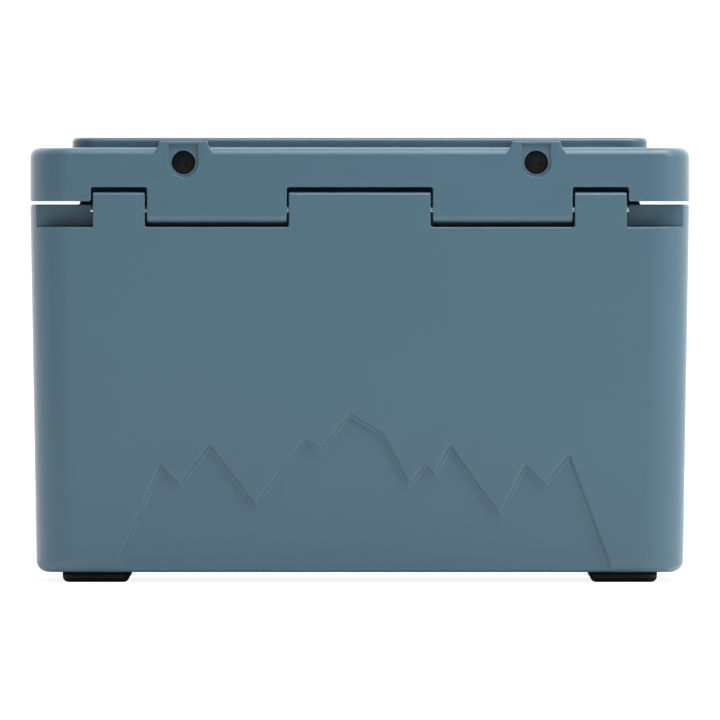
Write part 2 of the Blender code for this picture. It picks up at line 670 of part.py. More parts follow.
def build_latches():
    for name, side in sides():
        middle = side * LATCH_X
        strap = object_from(extruded(latch_outline(), middle - LATCH_HALF, middle + LATCH_HALF),
                            f"latch_strap_{name}", PARTS)
        join(strap, block((middle - LATCH_TAB_HALF, LATCH_PIN_Y - 6 * MM, LATCH_PIN_Z - 113 * MM),
                          (middle + LATCH_TAB_HALF, LATCH_PIN_Y + 5 * MM, LATCH_PIN_Z - 96 * MM)))
        cut(strap, cylinder((middle - 30 * MM, LATCH_PIN_Y, LATCH_PIN_Z),
                            (middle + 30 * MM, LATCH_PIN_Y, LATCH_PIN_Z), LATCH_PIN_RADIUS + GAP, sides=10))
        finish(strap, "rubber")
        pin = object_from(cylinder((middle - LATCH_PIN_HALF, LATCH_PIN_Y, LATCH_PIN_Z),
                                   (middle + LATCH_PIN_HALF, LATCH_PIN_Y, LATCH_PIN_Z),
                                   LATCH_PIN_RADIUS, sides=10), f"latch_pin_{name}", PARTS)
        finish(pin, "steel")
        wall = LATCH_POCKET_Y - GAP
        plate = wall - 3 * MM
        lip = plate - 6 * MM
        keeper = object_from(
            extruded([(wall, 342 * MM), (wall, 366 * MM), (plate, 366 * MM), (plate, 354 * MM),
                      (lip + 0.7 * MM, 354 * MM), (lip, 351 * MM), (lip + 0.7 * MM, 348.5 * MM),
                      (plate, 348.5 * MM), (plate, 342 * MM)], middle - 17 * MM, middle + 17 * MM),
            f"latch_keeper_{name}", PARTS)
        for place, x in (("inner", -side), ("outer", side)):
            at = middle + x * KEEPER_SCREW_X
            cut(keeper, cylinder((at, LATCH_POCKET_Y - 12 * MM, KEEPER_SCREW_Z),
                                 (at, LATCH_POCKET_Y + 5 * MM, KEEPER_SCREW_Z), 2.4 * MM, sides=8))
            screw = turned(f"keeper_screw_{place}_{name}", screw_profile(4 * MM, 2 * MM, 13 * MM), 12)
            aim(screw, (at, plate - GAP, KEEPER_SCREW_Z), (0, 1, 0))
            finish(screw, "steel")
        finish(keeper, "steel")


def build_drain():
    """Everything here is turned about the drain's axis, heights being distances along +X."""
    def on_axis(obj, material):
        aim(obj, (0, 0, DRAIN_Z), (1, 0, 0))
        finish(obj, material)

    seat = DRAIN_RECESS_X
    flange = seat + 2.3 * MM
    face = flange + 3 * MM
    inner_end = SUMP_WALL_X - 8 * MM
    on_axis(turned("drain_socket_gasket",
                   ring_profile(DRAIN_TUBE_RADIUS + GAP, 22 * MM, seat + GAP, flange - GAP), 20,
                   closed=True), "rubber")
    on_axis(turned("drain_socket",
                   [(DRAIN_THREAD, face), (24 * MM, face), (24 * MM, flange), (DRAIN_TUBE_RADIUS, flange),
                    (DRAIN_TUBE_RADIUS, inner_end), (DRAIN_BORE, inner_end), (DRAIN_BORE, 293 * MM),
                    (DRAIN_THREAD, 293 * MM)], 20, closed=True), "plug_plastic")
    nut = object_from(cylinder((0, 0, SUMP_WALL_X - 7 * MM), (0, 0, SUMP_WALL_X - GAP), 18 * MM, sides=6),
                      "drain_nut", PARTS)
    cut(nut, cylinder((0, 0, SUMP_WALL_X - 12 * MM), (0, 0, SUMP_WALL_X + 5 * MM),
                      DRAIN_TUBE_RADIUS + GAP, sides=20))
    on_axis(nut, "plug_plastic")
    on_axis(turned("drain_plug_seal", ring_profile(DRAIN_THREAD + 0.2 * MM, 15 * MM, face + GAP,
                                                   face + 2.3 * MM), 20, closed=True), "rubber")
    head = face + 2.6 * MM
    on_axis(turned("drain_plug",
                   [(0, head + 10 * MM), (17 * MM, head + 10 * MM), (19 * MM, head + 8 * MM), (19 * MM, head),
                    (10 * MM, head), (10 * MM, 295 * MM), (9 * MM, 294 * MM), (0, 294 * MM)], 20),
            "plug_plastic")


# ---------------------------------------------------------------- assembly

def finish(obj, material):
    """Gives a part its material and smooth shading."""
    obj.data.materials.clear()
    obj.data.materials.append(MATERIALS[material])
    if obj.type == "MESH" and obj.data.polygons:
        obj.data.shade_smooth()
        obj.data.set_sharp_from_angle(angle=math.radians(30))
    return obj


clear_scene()
PARTS = bpy.data.collections.new("cooler")
TOOLS = bpy.data.collections.new("cutters")
bpy.context.scene.collection.children.link(PARTS)
bpy.context.scene.collection.children.link(TOOLS)
MATERIALS = {
    "shell_plastic": make_material("shell_plastic", (0.098, 0.168, 0.220), 0.42),
    "foam": make_material("foam", (0.72, 0.62, 0.38), 0.95),
    "rubber": make_material("rubber", (0.012, 0.012, 0.012), 0.75),
    "plug_plastic": make_material("plug_plastic", (0.008, 0.008, 0.009), 0.55),
    "steel": make_material("steel", (0.62, 0.62, 0.60), 0.30, metallic=1.0),
    "aluminium": make_material("aluminium", (0.60, 0.61, 0.62), 0.35, metallic=1.0),
}
build_body()
build_lid()
build_feet()
build_hinge_rod()
build_handles()
build_latches()
build_drain()
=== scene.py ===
"""Looks of the insulated cooler: fine moulded shells, rubber, metal and plastic fittings, and a studio.

Everything is in metres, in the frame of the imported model: +Z up, latches towards -Y, hinge towards +Y.
"""

import math
from contextlib import contextmanager

import bmesh
import bpy
import numpy as np
from mathutils import Matrix, Vector
from mathutils.geometry import intersect_line_line_2d


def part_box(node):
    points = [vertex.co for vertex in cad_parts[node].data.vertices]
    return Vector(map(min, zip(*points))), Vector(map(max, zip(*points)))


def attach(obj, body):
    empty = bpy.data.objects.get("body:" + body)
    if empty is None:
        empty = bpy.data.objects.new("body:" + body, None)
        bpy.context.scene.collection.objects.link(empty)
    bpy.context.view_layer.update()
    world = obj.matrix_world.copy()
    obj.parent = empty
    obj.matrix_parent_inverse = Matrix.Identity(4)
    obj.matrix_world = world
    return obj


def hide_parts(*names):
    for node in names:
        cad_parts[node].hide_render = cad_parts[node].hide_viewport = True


MM = 0.001
INSIDE = 1
LOOP_REACH = 20 * MM

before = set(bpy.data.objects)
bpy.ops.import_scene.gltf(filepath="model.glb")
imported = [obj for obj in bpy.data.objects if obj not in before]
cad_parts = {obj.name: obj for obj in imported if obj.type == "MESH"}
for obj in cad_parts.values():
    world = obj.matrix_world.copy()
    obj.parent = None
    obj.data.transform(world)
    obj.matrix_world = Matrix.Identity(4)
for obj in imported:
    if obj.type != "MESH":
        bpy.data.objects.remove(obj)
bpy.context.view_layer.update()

# Body and lid, from the frame
TUB_LOW, TUB_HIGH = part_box("body_shell")
LID_LOW, LID_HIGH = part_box("lid_shell")
HALF_LENGTH = LID_HIGH.x
HALF_DEPTH = LID_HIGH.y
RIM = 378 * MM
LID_UNDERSIDE = 381 * MM
LID_SHOULDER = 434.8 * MM
FLOOR_OF_TUB = 60 * MM
TUB_BOTTOM = 10 * MM
TUB_DRAFT = math.tan(math.radians(1.0))
BLOCK_TOP = TUB_HIGH.z
TAB_BOTTOM = LID_LOW.z


# ---------------------------------------------------------------- hand tools

def pick(obj):
    """Makes obj the only selected object, and the active one."""
    bpy.ops.object.select_all(action="DESELECT")
    obj.select_set(True)
    bpy.context.view_layer.objects.active = obj
    return obj


@contextmanager
def editing(obj, kind="FACE"):
    """Edit mode on obj, with nothing selected at the start."""
    pick(obj)
    bpy.ops.object.mode_set(mode="EDIT")
    bpy.ops.mesh.select_mode(type=kind)
    bpy.ops.mesh.select_all(action="DESELECT")
    yield
    bpy.ops.object.mode_set(mode="OBJECT")


def select_where(obj, kind, rule):
    """In edit mode, selects only the verts, edges or faces that the rule is true of."""
    bpy.ops.mesh.select_all(action="DESELECT")
    bm = bmesh.from_edit_mesh(obj.data)
    for item in getattr(bm, kind):
        item.select_set(bool(rule(item)))
    bm.select_flush_mode()
    bmesh.update_edit_mesh(obj.data)


def settle(obj):
    """Puts the object's place into its mesh."""
    pick(obj)
    bpy.ops.object.transform_apply(location=True, rotation=True, scale=True)
    return obj


def add_box(name, low, high):
    bpy.ops.object.select_all(action="DESELECT")
    low, high = Vector(low), Vector(high)
    bpy.ops.mesh.primitive_cube_add(size=1, location=(low + high) / 2, scale=high - low)
    obj = bpy.context.object
    obj.name = name
    return settle(obj)


def add_bar(name, start, end, radius, sides=48):
    """Cylinder between two points."""
    bpy.ops.object.select_all(action="DESELECT")
    start, end = Vector(start), Vector(end)
    turn = (end - start).to_track_quat("Z", "X").to_euler()
    bpy.ops.mesh.primitive_cylinder_add(vertices=sides, radius=radius, depth=(end - start).length,
                                        location=(start + end) / 2, rotation=turn)
    obj = bpy.context.object
    obj.name = name
    return settle(obj)


def plate_from(name, outline, thick, place=None):
    """Plate cut to an outline of X and Y, from height zero to thick, then put where place says."""
    curve = bpy.data.curves.new(name, "CURVE")
    curve.dimensions = "2D"
    curve.fill_mode = "BOTH"
    spline = curve.splines.new("POLY")
    spline.points.add(len(outline) - 1)
    for point, (across, up) in zip(spline.points, outline):
        point.co = (across, up, 0, 1)
    spline.use_cyclic_u = True
    plate = bpy.data.objects.new(name, curve)
    bpy.context.scene.collection.objects.link(plate)
    pick(plate)
    bpy.ops.object.convert(target="MESH")
    with editing(plate, "FACE"):
        bpy.ops.mesh.select_all(action="SELECT")
        bpy.ops.mesh.remove_doubles(threshold=0.01 * MM)
        bpy.ops.mesh.dissolve_limited(angle_limit=0.01)
        bpy.ops.mesh.select_all(action="SELECT")
        bpy.ops.mesh.extrude_region_move(TRANSFORM_OT_translate={"value": (0, 0, thick)})
        bpy.ops.mesh.select_all(action="SELECT")
        bpy.ops.mesh.normals_make_consistent(inside=False)
    return put(plate, place) if place else plate


def put(obj, place):
    """Moves a piece by a matrix and settles it."""
    obj.matrix_world = place
    return settle(obj)


def standing(point, direction, twist="Y"):
    """Matrix that stands a piece's height along direction, from point."""
    turn = Vector(direction).to_track_quat("Z", twist).to_matrix().to_4x4()
    return Matrix.Translation(point) @ turn


def turned(name, profile, sides=64, closed=False):
    """Turned piece on the Z axis: a ring drawn out through (radius, height) points."""
    bpy.ops.object.select_all(action="DESELECT")
    radius, height = profile[0]
    bpy.ops.mesh.primitive_circle_add(vertices=sides, radius=radius, location=(0, 0, height),
                                      fill_type="NOTHING" if closed else "NGON")
    obj = bpy.context.object
    obj.name = name
    settle(obj)
    with editing(obj, "EDGE" if closed else "FACE"):
        bpy.ops.mesh.select_all(action="SELECT")
        for next_radius, next_height in profile[1:]:
            rise = {"value": (0, 0, next_height - height)}
            bpy.ops.mesh.extrude_region_move(TRANSFORM_OT_translate=rise)
            share = next_radius / radius
            bpy.ops.transform.resize(value=(share, share, 1), center_override=(0, 0, next_height))
            radius, height = next_radius, next_height
        bpy.ops.mesh.select_all(action="SELECT")
        bpy.ops.mesh.remove_doubles(threshold=0.005 * MM)
        bpy.ops.mesh.normals_make_consistent(inside=False)
    return obj


def copy_of(obj, name, place=None):
    """Copy with a mesh of its own."""
    twin = obj.copy()
    twin.data = obj.data.copy()
    twin.name = name
    bpy.context.scene.collection.objects.link(twin)
    return put(twin, place) if place else twin


def along(edge, axis):
    """Whether an edge runs along the axis, 0 to 2, to within a few degrees."""
    direction = edge.verts[1].co - edge.verts[0].co
    return abs(direction[axis]) > 0.99 * direction.length


def lies_at(item, axis, value, within=0.05 * MM):
    return all(abs(v.co[axis] - value) < within for v in item.verts)


def round_where(obj, radius, steps, rule):
    """Rounds the edges that the rule is true of."""
    with editing(obj, "EDGE"):
        select_where(obj, "edges", rule)
        bpy.ops.mesh.bevel(offset=radius, segments=steps, profile=0.5, affect="EDGES",
                           clamp_overlap=False)
    return obj


def rounded_box(name, low, high, corner, steps=8, foot=0.0, crown=0.0, edge_steps=4):
    """Box with its upright edges rounded to corner, and its bottom and top edges to foot and crown."""
    obj = add_box(name, low, high)
    if corner:
        round_where(obj, corner, steps, lambda e: along(e, 2))
    if foot:
        round_where(obj, foot, edge_steps, lambda e: lies_at(e, 2, low[2]))
    if crown:
        round_where(obj, crown, edge_steps, lambda e: lies_at(e, 2, high[2]))
    return obj


def lean_in(obj, height, lean_x, lean_y):
    """Moves the points at that height in towards the middle."""
    middle = sum((Vector(c) for c in obj.bound_box), Vector()) / 8
    size = Vector(obj.dimensions) / 2
    with editing(obj, "VERT"):
        select_where(obj, "verts", lambda v: abs(v.co.z - height) < 0.01 * MM)
        bpy.ops.transform.resize(value=(1 - lean_x / size.x, 1 - lean_y / size.y, 1),
                                 center_override=(middle.x, middle.y, height))
    return obj


def combine(obj, tool, operation):
    """Cuts the tool from obj, or joins it on, and removes the tool."""
    pick(obj)
    modifier = obj.modifiers.new(operation, "BOOLEAN")
    modifier.operation = operation
    modifier.object = tool
    modifier.solver = "EXACT"
    bpy.ops.object.modifier_apply(modifier=modifier.name)
    bpy.data.objects.remove(tool)
    return obj


def cut(obj, *tools):
    for tool in tools:
        combine(obj, tool, "DIFFERENCE")
    return obj


def join(obj, *pieces):
    for piece in pieces:
        combine(obj, piece, "UNION")
    return obj


def soften(obj, radius_of, widest, steps=4, sharp=28):
    """Rounds every sharp edge at once, each to the radius that radius_of gives for its middle."""
    with editing(obj, "FACE"):
        select_where(obj, "faces", lambda f: f.material_index != INSIDE)
        bpy.ops.mesh.remove_doubles(threshold=0.1 * MM)
        bpy.ops.mesh.dissolve_limited(angle_limit=math.radians(0.6))
        bpy.ops.mesh.select_all(action="DESELECT")
        bm = bmesh.from_edit_mesh(obj.data)
        weight = bm.edges.layers.float.get("bevel_weight_edge") or bm.edges.layers.float.new("bevel_weight_edge")
        for edge in bm.edges:
            edge[weight] = 0
            inside = any(face.material_index == INSIDE for face in edge.link_faces)
            if not inside and edge.calc_face_angle(0) > math.radians(sharp):
                middle = (edge.verts[0].co + edge.verts[1].co) / 2
                edge[weight] = radius_of(middle, edge) / widest
        bmesh.update_edit_mesh(obj.data)
    bevel = obj.modifiers.new("soften", "BEVEL")
    bevel.limit_method = "WEIGHT"
    bevel.width = widest
    bevel.segments = steps
    bevel.use_clamp_overlap = False
    bevel.loop_slide = False
    bevel.miter_outer = "MITER_ARC"
    pick(obj)
    bpy.ops.object.modifier_apply(modifier=bevel.name)
    return untangle(obj)


def untangle(obj):
    """Closes the tiny loops that meeting roundings leave in a face's outline."""
    with editing(obj, "VERT"):
        bm = bmesh.from_edit_mesh(obj.data)
        for face in bm.faces:
            verts = list(face.verts)
            count = len(verts)
            if count < 5 or face.material_index == INSIDE:
                continue
            turn = face.normal.rotation_difference(Vector((0, 0, 1))).to_matrix()
            flat = [turn @ v.co for v in verts]
            for i in range(count):
                for gap in range(2, min(5, count - 2)):
                    j = (i + gap) % count
                    meet = intersect_line_line_2d(flat[i].xy, flat[(i + 1) % count].xy,
                                                  flat[j].xy, flat[(j + 1) % count].xy)
                    loop = [(i + step) % count for step in range(1, gap + 1)]
                    if meet and all((flat[k].xy - meet).length < LOOP_REACH for k in loop):
                        place = turn.inverted() @ Vector((meet.x, meet.y, flat[i].z))
                        for k in loop:
                            verts[k].co = place
                            flat[k] = turn @ place
        bmesh.update_edit_mesh(obj.data)
        bpy.ops.mesh.select_all(action="SELECT")
        bpy.ops.mesh.remove_doubles(threshold=0.01 * MM)
        bpy.ops.mesh.dissolve_degenerate(threshold=0.01 * MM)
    return obj


def smooth(obj):
    """Smooth shading that keeps flat faces flat."""
    pick(obj)
    bpy.ops.object.shade_smooth()
    modifier = obj.modifiers.new("weights", "WEIGHTED_NORMAL")
    modifier.keep_sharp = True
    bpy.ops.object.modifier_apply(modifier=modifier.name)
    return obj


def outside_and_inside(obj):
    """Two material slots, so that the faces of the hollow can be told from the outer ones."""
    obj.data.materials.clear()
    for _ in range(2):
        obj.data.materials.append(None)


def hollow_out(shell, *cores):
    """Takes the space of the foam cores, with their clearance, out of a solid shell."""
    outside_and_inside(shell)
    for core in cores:
        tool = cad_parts[core].copy()
        tool.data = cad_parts[core].data.copy()
        tool.parent = None
        bpy.context.scene.collection.objects.link(tool)
        with editing(tool, "VERT"):
            bpy.ops.mesh.select_all(action="SELECT")
            bpy.ops.mesh.remove_doubles(threshold=0.005 * MM)
        push = tool.modifiers.new("clearance", "DISPLACE")
        push.mid_level = 0
        push.strength = 0.25 * MM
        bpy.ops.object.modifier_apply(modifier=push.name)
        outside_and_inside(tool)
        for face in tool.data.polygons:
            face.material_index = INSIDE
        cut(shell, tool)


# ---------------------------------------------------------------- tub

HINGE_Y = HALF_DEPTH - 14 * MM
HINGE_Z = 372.4 * MM
KNUCKLE_THICK = 28 * MM
HINGE_FLOOR = 355.5 * MM
CENTRE_BLOCK_END = 71 * MM
END_BLOCK_START = 215 * MM
END_BLOCK_END = 267 * MM
BODY_NOTCH_DEEP = 31 * MM
CORNER_NOTCH_DEEP = 19 * MM
WALL = 56 * MM
SEAT_TOP = RIM + 4 * MM

RIDGE = [
    (-250, 4), (-200, 120), (-180, 100), (-150, 140), (-105, 80), (-55, 145),
    (-40, 135), (-10, 170), (25, 150), (50, 100), (65, 120), (75, 110),
    (90, 140), (140, 70), (165, 120), (185, 100), (210, 130), (257, 4),
]
RIDGE_DEEP = 4 * MM

LATCH_X = 175 * MM
LATCH_POCKET_HALF = 30 * MM
LATCH_POCKET_LOW = 282 * MM
LATCH_POCKET_Y = -192.5 * MM
POCKET_HALF = 95 * MM
POCKET_LOW = 255 * MM
POCKET_HIGH = 350 * MM
POCKET_BACK = 299 * MM
BAIL_X = 314 * MM
BAIL_Z = 336 * MM
DRAIN_Z = 67 * MM
FILL_RADIUS = 11.8 * MM
FOOT_X = 264 * MM


def ends():
    """The two ends of the cooler, as signs along X."""
    return (-1, 1)


def span(a, b):
    return (min(a, b), max(a, b))


def notch_tool(low, high, height):
    """Cutter for a hinge notch, with its corners at that height rounded."""
    return round_where(add_box("notch", low, high), 2.2 * MM, 4, lambda e: along(e, 1) and lies_at(e, 2, height))


def ridge_tool():
    """Pressed mountain ridge: a plate with sloping sides that leans with the back wall."""
    tool = plate_from("ridge", [(across * MM, up * MM) for across, up in RIDGE], 8 * MM)
    with editing(tool, "FACE"):
        select_where(tool, "faces", lambda f: f.normal.z < -0.9)
        bpy.ops.mesh.inset(thickness=3.5 * MM, depth=RIDGE_DEEP)
    wall_at_floor = HALF_DEPTH - RIM * TUB_DRAFT
    lean = math.pi / 2 - math.atan(TUB_DRAFT)
    return put(tool, Matrix.Translation((0, wall_at_floor, 0)) @ Matrix.Rotation(lean, 4, "X")
               @ Matrix.Diagonal((-1, 1, -1, 1)))


def tub_cavity():
    low = FLOOR_OF_TUB
    high = RIM + 20 * MM
    half_x = HALF_LENGTH - WALL + 0.5 * MM
    half_y = HALF_DEPTH - WALL + 0.5 * MM
    cavity = add_box("cavity", (-half_x, -half_y, low), (half_x, half_y, high))
    lean = (high - low) * math.tan(math.radians(1.5))
    lean_in(cavity, low, lean, lean)
    round_where(cavity, 28 * MM, 12, lambda e: not (lies_at(e, 2, low) or lies_at(e, 2, high)))
    return round_where(cavity, 6 * MM, 6, lambda e: lies_at(e, 2, low))


def near_axis(point, axis, centre, radius):
    """Whether a point is within radius of a line along the axis, on either side of the middle."""
    across = [abs(point[i]) if i == 0 else point[i] for i in range(3) if i != axis]
    if axis == 2:
        across[1] = abs(across[1])
    return math.hypot(across[0] - centre[0], across[1] - centre[1]) < radius


def tub_radius(middle, edge):
    """Radius of each sharp edge of the tub, by where it is."""
    behind = middle.y > HALF_DEPTH - KNUCKLE_THICK - 6 * MM
    if near_axis(middle, 0, (HINGE_Y, HINGE_Z), 4 * MM) or near_axis(middle, 0, (0, DRAIN_Z), 13 * MM):
        return 0.4 * MM
    if near_axis(middle, 1, (BAIL_X, BAIL_Z), 9 * MM) and middle.z < BAIL_Z + 12 * MM:
        return 0.4 * MM
    if any(near_axis(middle, 2, hole, FILL_RADIUS + 0.5 * MM) for hole in ((90 * MM, 0), (FOOT_X, 163 * MM))):
        return 0.4 * MM
    if near_axis(middle, 1, (LATCH_X - 10 * MM, 360 * MM), 3 * MM):
        return 0.3 * MM
    if near_axis(middle, 1, (LATCH_X + 10 * MM, 360 * MM), 3 * MM):
        return 0.3 * MM
    if behind and middle.z > BLOCK_TOP - 0.5 * MM:
        return 4.5 * MM if along(edge, 0) else 2.0 * MM
    if behind and middle.y < HALF_DEPTH - CORNER_NOTCH_DEEP + 1 * MM and middle.z < RIM - 1 * MM:
        return 0.5 * MM if middle.y > HALF_DEPTH - CORNER_NOTCH_DEEP - 1 * MM else 1.0 * MM
    if abs(middle.y) < 24 * MM and middle.x > 230 * MM and 48 * MM < middle.z < 90 * MM and middle.x < 272 * MM:
        return 0.6 * MM
    if behind and middle.z > HINGE_FLOOR - 1 * MM:
        return 2.2 * MM if along(edge, 0) and middle.z < HINGE_FLOOR + 1 * MM else 1.4 * MM
    on_seat = abs(middle.x) < HALF_LENGTH - 40 * MM and abs(middle.y) < HALF_DEPTH - 40 * MM
    if on_seat and middle.z > RIM - 1 * MM:
        return 1.0 * MM
    if middle.z > RIM - 1 * MM:
        return 2.5 * MM
    if middle.z < TUB_BOTTOM + 1 * MM:
        return 0.5 * MM
    return 1.4 * MM


def make_tub():
    top = BLOCK_TOP
    half_x = HALF_LENGTH + (top - RIM) * TUB_DRAFT
    half_y = HALF_DEPTH + (top - RIM) * TUB_DRAFT
    tub = add_box("tub_moulding", (-half_x, -half_y, TUB_BOTTOM), (half_x, half_y, top))
    lean = (top - TUB_BOTTOM) * TUB_DRAFT
    lean_in(tub, TUB_BOTTOM, lean, lean)
    round_where(tub, 40 * MM, 16, lambda e: not (lies_at(e, 2, TUB_BOTTOM) or lies_at(e, 2, top)))
    round_where(tub, 12 * MM, 8, lambda e: lies_at(e, 2, TUB_BOTTOM))
    far = 400 * MM
    back = HALF_DEPTH - KNUCKLE_THICK
    cut(tub, add_box("rim", (-far, -far, RIM), (far, back, far + RIM)))
    for side in ends():
        x = span(side * CENTRE_BLOCK_END, side * END_BLOCK_START)
        cut(tub, notch_tool((x[0], HALF_DEPTH - BODY_NOTCH_DEEP, HINGE_FLOOR), (x[1], far, far + RIM), HINGE_FLOOR))
        x = span(side * END_BLOCK_END, side * far)
        cut(tub, add_box("corner", (x[0], HALF_DEPTH - CORNER_NOTCH_DEEP, HINGE_FLOOR), (x[1], far, far + RIM)),
            add_box("corner_rim", (x[0], back - 1 * MM, RIM), (x[1], far, far + RIM)))
    reach = WALL - 9 * MM
    seat = rounded_box("seat", (-HALF_LENGTH + reach, -HALF_DEPTH + reach, RIM - 6 * MM),
                       (HALF_LENGTH - reach, HALF_DEPTH - reach, SEAT_TOP), 34 * MM, steps=12)
    lean_in(seat, SEAT_TOP, 3 * MM, 3 * MM)
    join(tub, seat)
    cut(tub, tub_cavity(), ridge_tool())
    for side in ends():
        x = span(side * POCKET_BACK, side * far)
        pocket = add_box("pocket", (x[0], -POCKET_HALF, POCKET_LOW), (x[1], POCKET_HALF, POCKET_HIGH))
        round_where(pocket, 5 * MM, 5, lambda e: along(e, 0))
        middle = side * LATCH_X
        recess = add_box("recess", (middle - LATCH_POCKET_HALF, -far, LATCH_POCKET_LOW),
                         (middle + LATCH_POCKET_HALF, LATCH_POCKET_Y, far + RIM))
        round_where(recess, 6 * MM, 5, lambda e: along(e, 1) and e.verts[0].co.z < RIM)
        cut(tub, pocket, recess)
    cut(tub, add_bar("drain_recess", (303 * MM, 0, DRAIN_Z), (far, 0, DRAIN_Z), 33 * MM, sides=64),
        add_box("sump", (236 * MM, -22 * MM, 50 * MM), (268.5 * MM, 22 * MM, 86 * MM)))
    for start, end in ((-112, -68), (-52, 52), (68, 112)):
        join(tub, rounded_box("pad", (start * MM, -60 * MM, TUB_BOTTOM - 1.3 * MM),
                              (end * MM, 60 * MM, TUB_BOTTOM + 2 * MM), 4 * MM, steps=6))
    hollow_out(tub, *(f"body_foam_{wall}" for wall in ("floor", "front", "rear", "left", "right")))
    drill_tub(tub)
    soften(tub, tub_radius, 4.5 * MM)
    return tub


def drill_tub(tub):
    """Bores for the rod, bushes, screws, drain and foam plugs."""
    for side in ends():
        for y in (-1, 1):
            cut(tub, add_bar("bush_hole", (side * BAIL_X, y * 90 * MM, BAIL_Z), (side * BAIL_X, y * 108 * MM, BAIL_Z),
                             8.3 * MM))
        for x in (-10 * MM, 10 * MM):
            cut(tub, add_bar("screw_hole", (side * LATCH_X + x, LATCH_POCKET_Y - 4 * MM, 360 * MM),
                             (side * LATCH_X + x, LATCH_POCKET_Y + 11 * MM, 360 * MM), 2.3 * MM, sides=24))
        for y in (-163 * MM, 163 * MM):
            cut(tub, add_bar("screw_hole", (side * 264 * MM, y, 6 * MM), (side * 264 * MM, y, 23 * MM),
                             2.6 * MM, sides=24))
        cut(tub, add_bar("fill_hole", (side * 90 * MM, 0, 0), (side * 90 * MM, 0, 14 * MM), FILL_RADIUS),
            add_bar("fill_way", (side * 90 * MM, 0, 13.9 * MM), (side * 90 * MM, 0, 21 * MM), FILL_RADIUS + 2 * MM))
    rod_end = END_BLOCK_END + 5 * MM
    cut(tub, add_bar("rod_bore", (-rod_end, HINGE_Y, HINGE_Z), (rod_end, HINGE_Y, HINGE_Z), 3.7 * MM),
        add_bar("drain_hole", (258 * MM, 0, DRAIN_Z), (308 * MM, 0, DRAIN_Z), 12.3 * MM))


# ---------------------------------------------------------------- lid

TAB_START = 73 * MM
TAB_END = 213 * MM
LID_NOTCH_END = 269 * MM
LID_NOTCH_TOP = 395.3 * MM
LID_NOTCH_DEEP = 37.5 * MM
PANEL_INSET = 42 * MM
PANEL_INSET_Y = 28 * MM
TRAY_INSET = 18 * MM
TRAY_DEEP = 2 * MM
GASKET_CEILING = 386 * MM
GASKET_CHANNEL = 44 * MM
PLUG_INSET = 62 * MM
PLUG_BOTTOM = 370 * MM
FILL_X = 176.4 * MM
FILL_Z = 420 * MM
D_RADIUS = 14.75 * MM
D_TOP = 439 * MM
D_DEEP = 3 * MM
BOSS_TOP = 441.4 * MM
CROWN = 9.5 * MM
BOSS_HALF = 24.5 * MM
BOSS_FLARE = 6 * MM
BOSS_FLARE_HIGH = 13 * MM
BOSS_CORNER = 2 * MM
FLUSH = HALF_DEPTH - 0.02 * MM
LATCH_POCKET_TOP = 428 * MM
LATCH_PIN_Y = -212.5 * MM
LATCH_PIN_Z = 415 * MM


def lid_radius(middle, edge):
    """Radius of each sharp edge of the lid, by where it is."""
    recessed = near_axis(middle, 1, (FILL_X, FILL_Z), D_RADIUS + 8 * MM) and middle.y > 0
    if recessed and middle.z < D_TOP + 0.5 * MM and middle.y < HALF_DEPTH - 0.5 * MM:
        return 0.4 * MM
    if recessed and middle.z < D_TOP + 0.5 * MM:
        return 0.8 * MM
    if near_axis(middle, 0, (HINGE_Y, HINGE_Z), 4 * MM) or near_axis(middle, 0, (LATCH_PIN_Y, LATCH_PIN_Z), 4 * MM):
        return 0.4 * MM
    if middle.z > LID_HIGH.z - TRAY_DEEP - 0.5 * MM:
        return 0.9 * MM
    by_boss = abs(abs(middle.x) - FILL_X) < BOSS_HALF + BOSS_FLARE + 1 * MM and middle.z > LID_SHOULDER - CROWN - 1 * MM
    if by_boss and middle.y > HALF_DEPTH - PANEL_INSET_Y - 1 * MM and not along(edge, 0):
        return 0
    if by_boss and middle.y > HALF_DEPTH - CROWN - 1 * MM:
        return 0
    if abs(abs(middle.x) - LATCH_X) < LATCH_POCKET_HALF + 1 * MM and middle.y < LATCH_POCKET_Y + 1 * MM:
        return 0.5 * MM if middle.z > LATCH_POCKET_TOP - 7 * MM else 1.1 * MM
    if middle.z > LID_SHOULDER - CROWN:
        return 0.9 * MM
    if middle.z < TAB_BOTTOM + 1 * MM and middle.y > HALF_DEPTH - KNUCKLE_THICK - 1 * MM:
        return 2.0 * MM
    if abs(middle.z - LID_UNDERSIDE) < 1 * MM:
        return 2.0 * MM
    return 1.4 * MM


def level(obj, axis, value):
    """Puts the points that lie nearly at a place along an axis exactly on it."""
    for v in obj.data.vertices:
        if abs(v.co[axis] - value) < 0.001 * MM:
            v.co[axis] = value
    return obj


def lid_boss(side):
    """Raised block that carries the foam hole: rounded top corners, and feet that flare out in an S."""
    steps = 10
    flank = []
    for i in range(steps // 2):
        angle = math.pi / 2 * (1 - i / (steps // 2))
        flank.append((BOSS_HALF - BOSS_CORNER + BOSS_CORNER * math.cos(angle),
                      BOSS_TOP - BOSS_CORNER + BOSS_CORNER * math.sin(angle)))
    for i in range(steps + 1):
        part = i / steps
        flank.append((BOSS_HALF + BOSS_FLARE * part * part * (3 - 2 * part),
                      BOSS_TOP - BOSS_CORNER - BOSS_FLARE_HIGH * part))
    outline = flank + [(flank[-1][0], FILL_Z)]
    outline += [(-across, up) for across, up in reversed(outline)]
    boss = plate_from("boss", outline, 45 * MM, standing((side * FILL_X, FLUSH, 0), (0, -1, 0)))
    round_where(boss, 1.4 * MM, 4, lambda e: lies_at(e, 1, FLUSH))
    return level(boss, 1, FLUSH)


